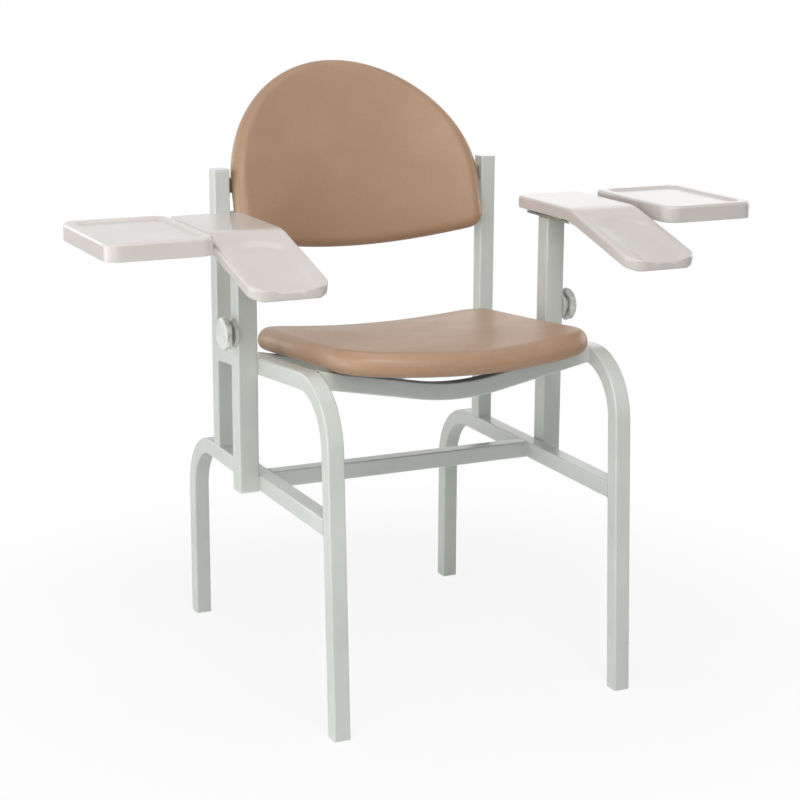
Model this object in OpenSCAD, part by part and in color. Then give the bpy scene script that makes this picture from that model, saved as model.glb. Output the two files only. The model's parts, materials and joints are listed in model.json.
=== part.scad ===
// Chair for taking blood samples, with two arm rests and trays that slide up and down
// Millimetres, the chair faces minus Y, the floor is at height zero

/* [Side frames] */
// Width over the two side frames
frame_width = 420; // [380:1:480]
// Depth over the feet
base_depth = 527; // [480:1:600]
// Size of the square frame tube
tube = 22; // [18:0.5:24]
// Wall of the frame tube
tube_wall = 1.5; // [1:0.1:2.5]
// Outer corner radius of the frame tube
tube_corner = 2.5; // [2:0.1:4]
// Forward lean of the front legs in degrees
leg_lean = 2.8; // [0:0.1:6]
// Height where the centre lines of leg and seat rail cross
rail_corner_height = 438; // [400:1:480]
// Fall of the seat rails towards the back in degrees
seat_tilt = 4.75; // [0:0.25:8]
// Radius of the tube bends on the centre line
bend_radius = 75; // [60:1:95]
// Height of the stretcher centre line
stretcher_height = 265; // [220:1:320]
// Height of the uprights with their caps
upright_height = 655; // [630:1:720]
// Upright centre ahead of the rear leg centre
upright_set_in = 106.5; // [95:0.5:140]
// Cross bar centre behind the front edge of the feet
cross_bar_set_back = 262; // [200:1:320]

/* [Feet and caps] */
// Thickness of the plate of a foot
foot_plate = 2.5; // [2:0.1:4]
// Length of the plug inside a tube end
plug_length = 15; // [8:1:20]
// Gap between a plug and the tube around it
plug_gap = 0.1; // [0.05:0.01:0.2]
// Thickness of the plate of a cap
cap_plate = 3; // [2:0.1:5]

/* [Seat] */
// Slope of the ends of the seat bars in degrees
seat_bar_slope = 10.8; // [6:0.2:14]
// Radius of the middle of the seat bars
seat_bar_radius = 300; // [200:10:500]
// Front seat bar behind the crossing of leg and rail
front_bar_place = 70; // [60:1:90]
// Rear seat bar behind the crossing of leg and rail
rear_bar_place = 260; // [220:1:290]
// Front corners of the seat behind the crossing of leg and rail
seat_front_place = 10; // [5:1:20]
// Length of the seat at its sides
seat_length = 325; // [300:1:335]
// Extra length at the middle of the front edge
seat_front_swell = 30; // [10:1:40]
// Extra length at the middle of the back edge
seat_back_swell = 8; // [0:1:12]
// Gap between the seat cushion and a seat rail
seat_side_gap = 9.2; // [6:0.1:20]
// Corner radius of the seat seen from above
seat_corner = 46; // [25:1:50]
// Thickness of the seat with its board
seat_thickness = 31; // [26:0.5:36]
// Radius of the dish of the seat from side to side
seat_dish_radius = 1430; // [1200:10:2500]
// Middle of the seat thickness above the rail centre line
seat_rise = 14; // [12:0.5:20]
// Extra height of the padding in the middle of a cushion
crown = 2.5; // [1:0.5:5]
// Thickness of the seat board and the back board
board_thickness = 10; // [8:0.5:12]
// Board edge in from the cushion edge
board_inset = 24; // [20:1:40]
// Gap between padding and board
pad_gap = 0.3; // [0.2:0.05:0.5]

/* [Backrest] */
// Middle of the back shell behind the upright centre at the reference height
back_set_back = 20.4; // [15:0.5:26]
// Reference height of the back shell
back_reference_height = 600; // [590:1:610]
// Radius of the back shell from side to side
back_across_radius = 432; // [400:5:800]
// Radius of the back shell from bottom to top
back_rise_radius = 633; // [560:5:900]
// Height where the back shell would stand upright
back_upright_height = 456; // [440:1:480]
// Gap between the back cushion and an upright
back_side_gap = 4.9; // [4:0.1:12]
// Thickness of the back cushion with its board
back_thickness = 26; // [22:0.5:30]
// Height of the bottom corners of the back cushion
back_bottom = 556; // [545:1:565]
// Drop of the bottom edge at the middle
back_bottom_swell = 20; // [5:1:25]
// Height where the round top of the back cushion starts
back_shoulder = 630; // [610:1:645]
// Rise of the round top above its start
back_top_rise = 157; // [140:1:190]
// Bottom corner radius of the back cushion
back_corner = 20; // [16:1:35]
// Height of the middle of the lower back strip
lower_strip_height = 585; // [583:1:590]
// Height of the middle of the upper back strip
upper_strip_height = 630; // [615:1:635]
// Width of a back strip
strip_width = 20; // [16:1:22]
// Thickness of a back strip
strip_thickness = 5; // [4:0.5:6]
// Slope of the lower back strip with the back shell at its reference, in degrees
lower_strip_slope = 12.8; // [10:0.1:16]
// Slope of the upper back strip with the back shell at its reference, in degrees
upper_strip_slope = 11.7; // [10:0.1:16]
// Length of a strip end lying on an upright
strip_lap = 16; // [12:0.5:18]
// Half width of the round middle of a back strip
strip_round_half = 90; // [70:1:110]

/* [Cushion bolts] */
// Bolt distance from the middle of the seat
seat_bolt_place = 130; // [110:1:135]
// Bolt distance from the middle of the back
back_bolt_place = 120; // [105:1:125]
// Diameter of the cushion bolts
bolt_diameter = 6; // [5:0.5:8]
// Head diameter of the cushion bolts
bolt_head = 11; // [9:0.5:14]
// Head height of the cushion bolts
bolt_head_height = 3.5; // [2.5:0.5:5]
// Depth of a bolt in a board
bolt_depth = 6; // [4:0.5:7]
// Gap around a bolt head in the access hole of a seat bar
head_room = 1; // [0.5:0.1:2]
// Diameter of the rubber spacers
spacer_diameter = 16; // [13:0.5:18]

/* [Arm posts] */
// Size of the square tube that slides in a post
slide_tube = 22; // [18:0.5:24]
// Gap between the slide tube and the post
slide_gap = 0.5; // [0.4:0.05:0.8]
// Wall of a post
post_wall = 2; // [1.5:0.1:3]
// Post centre behind the front edge of the feet
post_set_back = 258.5; // [240:0.5:290]
// Slide tube below the clamp at the highest setting
clamp_reach = 34.5; // [25:0.5:45]
// Gap between the slide tube at the lowest setting and the plug of the post
plug_room = 2; // [1:0.5:10]
// Gap between post and arm strip at the lowest setting
rest_gap = 0.3; // [0.2:0.05:0.4]
// Travel of an arm rest
arm_travel = 130; // [100:5:140]

/* [Arm rests] */
// Top of an arm rest at its lowest setting
arm_height = 610; // [580:1:640]
// Thickness of an arm pad
pad_thickness = 17; // [14:0.5:22]
// Width of an arm pad
pad_width = 101; // [80:1:110]
// Inner edge of an arm pad inside the frame side
pad_over = 8; // [0:0.5:9]
// Rear end of an arm pad behind the post centre
pad_behind = 63; // [50:1:80]
// Flat length of an arm pad
pad_flat = 134.5; // [120:0.5:160]
// Length of the falling front part of an arm pad
pad_front = 151; // [100:1:180]
// Fall of the front part in degrees
pad_fall = 16; // [8:0.5:22]
// Radius of the elbow of an arm pad
pad_elbow_radius = 92; // [70:1:140]
// Thickness of an arm pad at its front tip
pad_tip_thickness = 15.5; // [12:0.5:20]
// Corner radius at the rear end of an arm pad
pad_rear_corner = 12; // [8:0.5:20]
// Corner radius at the front tip of an arm pad
pad_tip_corner = 24; // [12:0.5:35]
// Edge rounding of an arm pad
pad_edge = 4; // [2:0.5:6]
// Depth of the trough in the front part of an arm pad
trough_depth = 4; // [0:0.5:6]
// Width of the rim beside the trough
trough_rim = 6; // [4:0.5:12]
// Width of the steel strip under an arm pad
arm_strip_width = 25; // [20:1:30]
// Thickness of the steel strips of the arm
arm_strip_thickness = 3; // [2.5:0.5:4]
// Rear end of the arm strip behind the post centre
arm_strip_behind = 55.5; // [40:0.5:60]
// Front end of the arm strip ahead of the post centre
arm_strip_ahead = 77; // [60:0.5:90]
// Width of the strip that carries a tray
tray_strip_width = 30; // [20:1:34]
// Middle of the tray strip ahead of the post centre
tray_strip_ahead = 35; // [32:0.5:45]
// Diameter of the arm screws
screw_diameter = 5; // [4:0.5:6]
// Head diameter of the arm screws
screw_head = 9; // [7:0.5:11]
// Head height of the arm screws
screw_head_height = 2.5; // [2:0.5:4]
// Depth of an arm screw in a pad or tray
screw_depth = 8; // [5:0.5:10]
// Diameter of the spacers on the arm strip
arm_spacer_diameter = 14; // [10:0.5:18]

/* [Trays] */
// Gap between an arm pad and its tray
tray_gap = 9; // [3:0.5:15]
// Width of a tray
tray_width = 136; // [120:0.5:180]
// Length of a tray
tray_length = 196; // [170:1:260]
// Height of a tray
tray_height = 22; // [15:0.5:24]
// Front edge of a tray ahead of the post centre
tray_ahead = 153; // [110:0.5:165]
// Corner radius of a tray
tray_corner = 20; // [8:0.5:25]
// Rounding of the upper edge of a tray
tray_edge = 3.5; // [1:0.5:5]
// Width of the rim around the tray recess
tray_rim = 14; // [8:0.5:20]
// Depth of the tray recess
tray_recess = 3; // [2:0.5:5]
// Wall of a tray
tray_wall = 3; // [2:0.5:4]
// Diameter of the screw bosses under a tray
tray_boss = 13; // [10:0.5:16]

/* [Clamp knobs] */
// Height of a clamp knob above the floor
knob_height = 464.5; // [440:0.5:500]
// Diameter over the lobes of a knob
knob_diameter = 45; // [36:1:60]
// Thickness of the knob head
knob_thickness = 10; // [8:0.5:15]
// Edge rounding of the knob head
knob_edge = 3; // [1:0.5:4]
// Number of lobes of a knob
knob_lobes = 6; // [4:1:8]
// Diameter of the threaded plate on a post
plate_diameter = 34; // [26:1:40]
// Thickness of the threaded plate on a post
plate_thickness = 4; // [3:0.5:6]
// Gap between the threaded plate and the knob
knob_gap = 0.4; // [0.3:0.05:1]
// Hub diameter of a knob
hub_diameter = 18; // [14:0.5:24]
// Hub length of a knob behind its head
hub_length = 5; // [3:0.5:8]
// Depth of the hollow in the back of a knob
knob_hollow = 5; // [3:0.5:6]
// Flat width around the hollow in the back of a knob
knob_rim = 1.5; // [0.5:0.1:3]
// Diameter of the groove in the face of a knob
groove_diameter = 24; // [16:1:28]
// Width of the groove in the face of a knob
groove_width = 1.5; // [1:0.1:2.5]
// Depth of the groove in the face of a knob
groove_depth = 0.8; // [0.4:0.1:1.2]
// Diameter of a clamp stud
stud_diameter = 8; // [6:0.5:10]
// Gap between the tip of a stud and the slide tube
tip_gap = 0.25; // [0.15:0.05:0.4]

/* [Hidden] */
$fn = 48;
// Facets of a circle that is larger than the chair
fine = 720;
// Overrun of every cut
cut = 2;
// Size that is larger than the chair
beyond = 1500;
// Lap of a straight tube run over its bend
lap = 0.4;
// Draw of the tube faces where the tube is bent
bend_draw = 0.05;
// Running gap around studs and bolts
thread_gap = 0.05;
// Number of steps of a cushion corner, edge and roll
corner_steps = 5;
edge_steps = 5;
roll_steps = 7;
arch_steps = 22;
side_steps = 3;
strip_steps = 10;
pocket_steps = 3;
// Shares of the cushion outline for the rings on the crown
crown_shares = [0.3, 0.58, 0.82];
// Shares across an arm pad
across_shares = [-0.92, -0.72, -0.4, 0, 0.4, 0.72, 0.92];
// Shares of the knob diameter for the radius of a lobe and of a notch between lobes
lobe_share = 0.16;
notch_share = 0.1;
lobe_steps = 6;
notch_steps = 3;
round_steps = 3;
tray_end_share = 0.22;
// Shares of the falling front part of a pad up to the trough and for the fall of its floor
trough_start_share = 0.12;
trough_run_share = 0.22;

inner_half = frame_width / 2 - tube;
side_x = frame_width / 2 - tube / 2;
front_y = -base_depth / 2;
foot_y = front_y + tube / 2;
corner_y = foot_y + rail_corner_height * tan(leg_lean);
rear_leg_y = base_depth / 2 - tube / 2;
upright_y = rear_leg_y - upright_set_in;
cross_bar_y = front_y + cross_bar_set_back;
bend_turn = 90 - leg_lean + seat_tilt;
bend_run = bend_radius * tan(bend_turn / 2);
stretcher_top = stretcher_height + tube / 2;
tube_bore = tube - 2 * tube_wall;
tube_plug = tube_bore - 2 * plug_gap;

post = slide_tube + 2 * slide_gap + 2 * post_wall;
post_bore = post - 2 * post_wall;
post_x = frame_width / 2 + post / 2;
post_y = front_y + post_set_back;
slide_bottom = knob_height - arm_travel - clamp_reach;
post_bottom = min(stretcher_height - tube / 2, slide_bottom - plug_room - plug_length - cap_plate);
pad_under = arm_height - pad_thickness;
tray_strip_z = pad_under - arm_strip_thickness;
arm_strip_z = tray_strip_z - arm_strip_thickness;
post_top = arm_strip_z - rest_gap;

seat_roll = seat_thickness / 2;
seat_half = inner_half - seat_side_gap;
seat_middle = seat_front_place + seat_length / 2;
back_roll = back_thickness / 2;
back_half = inner_half - back_side_gap;
back_centre_z = (back_bottom + back_shoulder + back_top_rise) / 2;
back_mid_y = upright_y + back_set_back;
back_axis_y = back_mid_y - back_across_radius;
back_ring = back_across_radius
  + sqrt(pow(back_rise_radius, 2) - pow(back_reference_height - back_upright_height, 2));

pad_x = frame_width / 2 - pad_over + pad_width / 2;
pad_rear_y = post_y + pad_behind;
pad_arc = pad_elbow_radius * pad_fall * PI / 180;
pad_length = pad_flat + pad_arc + pad_front;
tray_x = frame_width / 2 - pad_over + pad_width + tray_gap + tray_width / 2;
tray_y = post_y - tray_ahead + tray_length / 2;
tray_strip_y = post_y - tray_strip_ahead;
arm_rear_screw_y = post_y + arm_strip_behind - arm_strip_width / 2;
arm_front_screw_y = post_y - arm_strip_ahead + arm_strip_width / 2;
pad_screw_x = frame_width / 2 - pad_over + pad_width - arm_strip_width;
tray_screw_in = tray_x - tray_width * tray_end_share;
tray_screw_out = tray_x + tray_width * tray_end_share;

// Flat shapes

module rounded_square(across, along, radius) {
  union() {
    square([across - 2 * radius, along], center = true);
    square([across, along - 2 * radius], center = true);
    for (sx = [-1, 1], sy = [-1, 1])
      translate([sx * (across / 2 - radius), sy * (along / 2 - radius)]) circle(r = radius);
  }
}

module tube_flat(size, wall, radius) {
  difference() {
    rounded_square(size, size, radius);
    square([size - 2 * wall, size - 2 * wall], center = true);
  }
}

module frame_tube(length) {
  linear_extrude(height = length) tube_flat(tube, tube_wall, tube_corner);
}

module frame_bend(radius, turn) {
  rotate_extrude(angle = turn) translate([radius, 0])
    tube_flat(tube - 2 * bend_draw, tube_wall - 2 * bend_draw, tube_corner - bend_draw);
}

module both_sides() {
  children();
  mirror([1, 0, 0]) children();
}

// Side frames

module in_leg() {
  translate([side_x, foot_y, 0]) rotate([-leg_lean, 0, 0]) children();
}

module on_rails() {
  translate([0, corner_y, rail_corner_height]) rotate([-seat_tilt, 0, 0]) children();
}

module below_tubes() {
  translate([-beyond / 2, -beyond / 2, foot_plate - beyond]) cube([beyond, beyond, beyond]);
}

module front_tube() {
  leg_run = rail_corner_height / cos(leg_lean) - bend_run;
  rail_run = (upright_y - corner_y) / cos(seat_tilt) + tube;
  difference() {
    union() {
      in_leg() translate([0, 0, -cut]) frame_tube(leg_run + cut + lap);
      in_leg() translate([0, bend_radius, leg_run])
        rotate([90, 0, -90]) frame_bend(bend_radius, bend_turn);
      on_rails() translate([side_x, bend_run - lap, 0]) rotate([-90, 0, 0])
        frame_tube(rail_run - bend_run);
    }
    below_tubes();
    translate([0, upright_y - tube / 2, 0]) cube([frame_width, beyond, beyond]);
  }
}

module rear_tube() {
  leg_run = stretcher_height - bend_radius - foot_plate;
  difference() {
    union() {
      translate([side_x, rear_leg_y, foot_plate]) frame_tube(leg_run + lap);
      translate([side_x, rear_leg_y - bend_radius, stretcher_height - bend_radius])
        rotate([90, 0, 90]) frame_bend(bend_radius, 90);
      translate([side_x, rear_leg_y - bend_radius + lap, stretcher_height]) rotate([90, 0, 0])
        frame_tube(base_depth - tube - bend_radius);
    }
    in_leg() translate([-tube, tube / 2 - beyond, -beyond / 2]) cube([2 * tube, beyond, beyond]);
  }
}

module upright() {
  translate([side_x, upright_y, stretcher_top])
    frame_tube(upright_height - cap_plate - stretcher_top);
}

module left_front_tube() { color("#CDD1CC") mirror([1, 0, 0]) front_tube(); }
module right_front_tube() { color("#CDD1CC") front_tube(); }
module left_rear_tube() { color("#CDD1CC") mirror([1, 0, 0]) rear_tube(); }
module right_rear_tube() { color("#CDD1CC") rear_tube(); }
module left_upright() { color("#CDD1CC") mirror([1, 0, 0]) upright(); }
module right_upright() { color("#CDD1CC") upright(); }

module cross_bar() {
  color("#CDD1CC") translate([-inner_half, cross_bar_y, stretcher_height])
    rotate([0, 90, 0]) frame_tube(2 * inner_half);
}

// Bars that carry the seat, bowed down in the middle

seat_bar_end_x = seat_bar_radius * sin(seat_bar_slope);
seat_bar_dip = seat_bar_radius * (1 - cos(seat_bar_slope))
  + (inner_half - seat_bar_end_x) * tan(seat_bar_slope);

module at_seat_bolts(place) {
  drop = (inner_half - seat_bolt_place) * tan(seat_bar_slope);
  on_rails() both_sides() translate([seat_bolt_place, place, -drop])
    rotate([0, -seat_bar_slope, 0]) children();
}

module seat_bar(place) {
  difference() {
    on_rails() intersection() {
      translate([0, place, -seat_bar_dip]) union() {
        translate([0, 0, seat_bar_radius]) rotate([90, 0, 0])
          rotate([0, 0, -90 - seat_bar_slope]) frame_bend(seat_bar_radius, 2 * seat_bar_slope);
        both_sides()
          translate([seat_bar_end_x, 0, seat_bar_radius * (1 - cos(seat_bar_slope))])
            rotate([0, 90 - seat_bar_slope, 0]) translate([0, 0, -lap]) frame_tube(inner_half);
      }
      cube([2 * inner_half, beyond, beyond], center = true);
    }
    at_seat_bolts(place) {
      cylinder(d = bolt_diameter + 2 * thread_gap, h = tube);
      translate([0, 0, -tube]) cylinder(d = bolt_head + 2 * head_room, h = tube);
    }
  }
}

module front_seat_bar() { color("#C4C8C6") seat_bar(front_bar_place); }
module rear_seat_bar() { color("#C4C8C6") seat_bar(rear_bar_place); }

// Strips that carry the back, bowed to the rear

strip_start_y = upright_y + tube / 2;
strip_lap_end = frame_width / 2 - tube / 4;
strip_bend_x = strip_lap_end - strip_lap;

function strip_radius(slope) = strip_round_half / sin(slope);
function strip_depth(slope) = (strip_bend_x - strip_round_half) * tan(slope)
  + strip_radius(slope) * (1 - cos(slope));

// A strip slope follows the back of the board as its height or the shell changes
function board_rear(height) =
  back_axis_y + sqrt(pow(back_reach(height, 0), 2) - pow(back_bolt_place, 2)) + back_roll;
function strip_slope(height, slope) = atan(tan(slope)
  + (board_rear(height) - board_rear(back_reference_height)) / (strip_bend_x - back_bolt_place));

lower_slope = strip_slope(lower_strip_height, lower_strip_slope);
upper_slope = strip_slope(upper_strip_height, upper_strip_slope);

// Line of a strip from one end to the other, set out from its front face
function strip_line(slope, out) =
  let (radius = strip_radius(slope), bend = strip_bend_x + out * tan(slope / 2))
  concat(
    [[-strip_lap_end, out], [-bend, out]],
    [for (i = [-strip_steps:strip_steps]) let (turn = slope * i / strip_steps)
      [(radius + out) * sin(turn), strip_depth(slope) - radius + (radius + out) * cos(turn)]],
    [[bend, out], [strip_lap_end, out]]
  );

module strip_flat(slope) {
  rear = strip_line(slope, strip_thickness);
  polygon(concat(strip_line(slope, 0), [for (i = [len(rear) - 1:-1:0]) rear[i]]));
}

module at_back_bolts(height, slope) {
  out = (strip_bend_x - back_bolt_place) * tan(slope);
  translate([0, 0, height]) both_sides()
    translate([back_bolt_place, strip_start_y + out, 0]) rotate([90, 0, 0]) rotate([0, -slope, 0])
      children();
}

module back_strip(height, slope) {
  difference() {
    translate([0, strip_start_y, height - strip_width / 2])
      linear_extrude(height = strip_width) strip_flat(slope);
    at_back_bolts(height, slope)
      cylinder(d = bolt_diameter + 2 * thread_gap, h = tube, center = true);
  }
}

module lower_back_strip() {
  color("#C4C8C6") back_strip(lower_strip_height, lower_slope);
}
module upper_back_strip() {
  color("#C4C8C6") back_strip(upper_strip_height, upper_slope);
}

// Feet, caps and plugs

module leg_foot(lean) {
  linear_extrude(height = foot_plate) rounded_square(tube, tube, tube_corner);
  rotate([-lean, 0, 0]) linear_extrude(height = foot_plate + plug_length)
    square([tube_plug, tube_plug], center = true);
}

module front_feet() {
  color("#C9CDCA") both_sides() difference() {
    translate([side_x, foot_y, 0]) leg_foot(leg_lean);
    translate([0, -beyond / 2, -beyond]) cube([beyond, beyond, beyond]);
  }
}

module rear_feet() {
  color("#C9CDCA") both_sides() translate([side_x, rear_leg_y, 0]) leg_foot(0);
}

module upright_caps() {
  color("#D6D9D6") both_sides() translate([side_x, upright_y, upright_height])
    mirror([0, 0, 1]) {
      linear_extrude(height = cap_plate) rounded_square(tube, tube, tube_corner);
      linear_extrude(height = cap_plate + plug_length)
        square([tube_plug, tube_plug], center = true);
    }
}

module post_plugs() {
  color("#C9CDCA") both_sides() translate([post_x, post_y, post_bottom]) {
    linear_extrude(height = cap_plate) rounded_square(post, post, tube_corner);
    linear_extrude(height = cap_plate + plug_length)
      square([post_bore - 2 * plug_gap, post_bore - 2 * plug_gap], center = true);
  }
}

// Arm posts with the threaded plates of the clamps

module arm_post() {
  difference() {
    translate([post_x, post_y, post_bottom + cap_plate])
      linear_extrude(height = post_top - post_bottom - cap_plate)
        tube_flat(post, post_wall, tube_corner);
    translate([post_x, post_y, knob_height]) rotate([0, 90, 0])
      cylinder(d = stud_diameter + 4 * thread_gap, h = post);
  }
}

module left_post() { color("#CDD1CC") mirror([1, 0, 0]) arm_post(); }
module right_post() { color("#CDD1CC") arm_post(); }

module knob_plate() {
  translate([post_x + post / 2, post_y, knob_height]) rotate([0, 90, 0]) difference() {
    cylinder(d = plate_diameter, h = plate_thickness);
    translate([0, 0, -cut])
      cylinder(d = stud_diameter + 4 * thread_gap, h = plate_thickness + 2 * cut);
  }
}

module left_knob_plate() { color("#CDD1CC") mirror([1, 0, 0]) knob_plate(); }
module right_knob_plate() { color("#CDD1CC") knob_plate(); }

// Cushion outlines, anticlockwise lists of points in the plane of the cushion

function arc_points(centre, radius, start, turn, steps) =
  [for (i = [0:steps]) centre + radius * [cos(start + turn * i / steps), sin(start + turn * i / steps)]];

function between(first, last, steps) =
  [for (i = [1:steps - 1]) first + (last - first) * i / steps];

function swell(point, half, front, back, low, high) =
  let (bow = 1 - pow(point[0] / half, 2), up = (point[1] - low) / (high - low))
  [point[0], point[1] - front * bow * pow(1 - up, 2) + back * bow * pow(up, 2)];

function seat_outline() =
  let (
    half = seat_half - seat_roll,
    low = seat_front_place + seat_roll,
    high = seat_front_place + seat_length - seat_roll,
    radius = seat_corner - seat_roll,
    in_x = half - radius
  )
  [for (point = concat(
      arc_points([in_x, low + radius], radius, -90, 90, corner_steps),
      between([half, low + radius], [half, high - radius], 2 * edge_steps),
      arc_points([in_x, high - radius], radius, 0, 90, corner_steps),
      between([in_x, high], [-in_x, high], 2 * edge_steps),
      arc_points([-in_x, high - radius], radius, 90, 90, corner_steps),
      between([-half, high - radius], [-half, low + radius], 2 * edge_steps),
      arc_points([-in_x, low + radius], radius, 180, 90, corner_steps),
      between([-in_x, low], [in_x, low], 2 * edge_steps)
    )) swell(point, half, seat_front_swell, seat_back_swell, low, high)];

function back_outline() =
  let (
    half = back_half - back_roll,
    low = back_bottom + back_roll,
    radius = back_corner - back_roll,
    in_x = half - radius,
    rise = back_top_rise - back_roll
  )
  concat(
    arc_points([in_x, low + radius], radius, -90, 90, corner_steps),
    between([half, low + radius], [half, back_shoulder], side_steps),
    [for (i = [0:arch_steps])
      [half * cos(180 * i / arch_steps), back_shoulder + rise * sin(180 * i / arch_steps)]],
    between([-half, back_shoulder], [-half, low + radius], side_steps),
    arc_points([-in_x, low + radius], radius, 180, 90, corner_steps),
    [for (point = between([-in_x, low], [in_x, low], 2 * edge_steps))
      [point[0], low - back_bottom_swell * (1 - pow(point[0] / in_x, 2))]]
  );

// Placing of a cushion point, its two outline values and its height over the middle surface

function on_seat(point, height) =
  let (turn = asin(point[0] / seat_dish_radius))
  [point[0] - height * sin(turn), point[1],
   seat_rise + seat_dish_radius * (1 - cos(turn)) + height * cos(turn)];

function back_reach(z, height) = back_ring
  - sqrt(pow(back_rise_radius + height, 2) - pow(z - back_upright_height, 2));

function on_back(point, height) =
  let (
    reach = back_reach(point[1], 0),
    turn = asin(point[0] / reach),
    lean = asin((point[1] - back_upright_height) / back_rise_radius),
    out = reach - height * cos(lean)
  )
  [out * sin(turn), back_axis_y + out * cos(turn), point[1] + height * sin(lean)];

function shape_point(kind, point, height) = kind == 0 ? on_seat(point, height) : on_back(point, height);

// The same surfaces met by a straight line, for the pocket of the flat cut board
function pocket_point(kind, point, height) = kind == 0
  ? [point[0], point[1], seat_rise + seat_dish_radius
    - sqrt(pow(seat_dish_radius - height, 2) - pow(point[0], 2))]
  : [point[0], back_axis_y + sqrt(pow(back_reach(point[1], height), 2) - pow(point[0], 2)), point[1]];

function normals(line) = let (n = len(line)) [for (i = [0:n - 1])
  let (d = line[(i + 1) % n] - line[(i + n - 1) % n]) [d[1], -d[0]] / norm(d)];

// Outline scaled about the cushion centre and set out along its normals
function shrunk(line, sides, centre, share, out) =
  [for (i = [0:len(line) - 1]) centre + share * (line[i] - centre) + out * sides[i]];

// Closed body from rings of points, with one point at each end
module ring_body(first, rings, last) {
  n = len(rings[0]);
  count = len(rings);
  points = concat([first], [for (r = rings, p = r) p], [last]);
  faces = concat(
    [for (i = [0:n - 1]) [0, 1 + (i + 1) % n, 1 + i]],
    [for (j = [0:count - 2], i = [0:n - 1]) let (a = 1 + j * n + i, b = 1 + j * n + (i + 1) % n)
      [a, b, b + n]],
    [for (j = [0:count - 2], i = [0:n - 1]) let (a = 1 + j * n + i, b = 1 + j * n + (i + 1) % n)
      [a, b + n, a + n]],
    [for (i = [0:n - 1]) [len(points) - 1, 1 + (count - 1) * n + i, 1 + (count - 1) * n + (i + 1) % n]]
  );
  polyhedron(points = points, faces = faces, convexity = 4);
}

// Flat cut line of a board, or with a gap the line of its pocket
function flat_point(kind, point, roll) =
  let (p = shape_point(kind, point, board_thickness / 2 - roll)) kind == 0 ? [p[0], p[1]] : [p[0], p[2]];

function board_line(kind, line, centre, half, roll, out) =
  [for (p = shrunk(line, normals(line), centre, 1 - (board_inset - roll) / half, out))
    flat_point(kind, p, roll)];

module cushion(kind, line, centre, half, roll) {
  sides = normals(line);
  edge = board_line(kind, line, centre, half, roll, pad_gap);
  middle = flat_point(kind, centre, roll);
  pocket = board_thickness + pad_gap - roll;
  rings = concat(
    [for (share = crown_shares) [for (p = shrunk(line, sides, centre, share, 0))
      shape_point(kind, p, roll + crown * (1 - share * share))]],
    [for (i = [0:roll_steps]) let (turn = 90 - 180 * i / roll_steps)
      [for (p = shrunk(line, sides, centre, 1, roll * cos(turn)))
        shape_point(kind, p, roll * sin(turn))]],
    [[for (p = edge) pocket_point(kind, p, -roll)]],
    [for (i = [pocket_steps:-1:1]) [for (p = edge)
      pocket_point(kind, middle + (p - middle) * i / pocket_steps, pocket)]]
  );
  ring_body(shape_point(kind, centre, roll + crown), rings, pocket_point(kind, middle, pocket));
}

seat_centre = [0, seat_middle];
back_centre = [0, back_centre_z];

module seat_cushion() {
  color("#B99E84") on_rails()
    cushion(0, seat_outline(), seat_centre, seat_half - seat_roll, seat_roll);
}

module back_cushion() {
  color("#B99E84") cushion(1, back_outline(), back_centre, back_half - back_roll, back_roll);
}

// Boards under the padding, cut from a round sheet along the cushion outline

module seat_sheet(low, high) {
  translate([0, 0, seat_rise + seat_dish_radius]) rotate([-90, 0, 0]) linear_extrude(height = beyond)
    intersection() {
      difference() {
        circle(r = seat_dish_radius - low, $fn = fine);
        circle(r = seat_dish_radius - high, $fn = fine);
      }
      translate([-inner_half, 0]) square([2 * inner_half, 2 * seat_dish_radius]);
    }
}

module seat_board_solid() {
  on_rails() intersection() {
    seat_sheet(-seat_roll, board_thickness - seat_roll);
    translate([0, 0, -beyond / 2]) linear_extrude(height = beyond)
      polygon(board_line(0, seat_outline(), seat_centre, seat_half - seat_roll, seat_roll, 0));
  }
}

module seat_board() {
  color("#3A332E") difference() {
    seat_board_solid();
    for (place = [front_bar_place, rear_bar_place]) seat_bolt_bore(place);
  }
}

// Cut of a bolt, from the bar up into the board
seat_spacer_room = seat_rise - seat_roll - tube / 2
  + pow(seat_bolt_place, 2) / (2 * seat_dish_radius)
  + (inner_half - seat_bolt_place) * tan(seat_bar_slope);
seat_bolt_reach = tube / 2 + seat_spacer_room + bolt_depth;

module seat_bolt_bore(place) {
  at_seat_bolts(place) cylinder(d = bolt_diameter + 2 * thread_gap, h = seat_bolt_reach);
}

module back_sheet(low, high) {
  translate([0, back_axis_y, back_upright_height]) rotate([0, 0, 45]) rotate_extrude(angle = 90, $fn = fine)
    translate([back_ring, 0]) intersection() {
      difference() {
        circle(r = back_rise_radius + high, $fn = fine);
        circle(r = back_rise_radius + low, $fn = fine);
      }
      translate([-back_ring, 0]) square([back_ring - cut, back_ring / 2]);
    }
}

module back_board_solid() {
  intersection() {
    back_sheet(-back_roll, board_thickness - back_roll);
    translate([0, beyond, 0]) rotate([90, 0, 0]) linear_extrude(height = 2 * beyond)
      polygon(board_line(1, back_outline(), back_centre, back_half - back_roll, back_roll, 0));
  }
}

function back_bolt_room(height, slope) =
  strip_start_y + (strip_bend_x - back_bolt_place) * tan(slope) - board_rear(height);

module back_bolt_bore(height, slope) {
  at_back_bolts(height, slope)
    cylinder(d = bolt_diameter + 2 * thread_gap, h = back_bolt_room(height, slope) + bolt_depth);
}

module back_board() {
  color("#3A332E") difference() {
    back_board_solid();
    back_bolt_bore(lower_strip_height, lower_slope);
    back_bolt_bore(upper_strip_height, upper_slope);
  }
}

// Rubber spacers between the bars or strips and the boards

module spacer(room) {
  difference() {
    cylinder(d = spacer_diameter, h = room + bolt_depth);
    translate([0, 0, -cut]) cylinder(d = bolt_diameter + 2 * thread_gap, h = room + 2 * bolt_depth + cut);
  }
}

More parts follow.
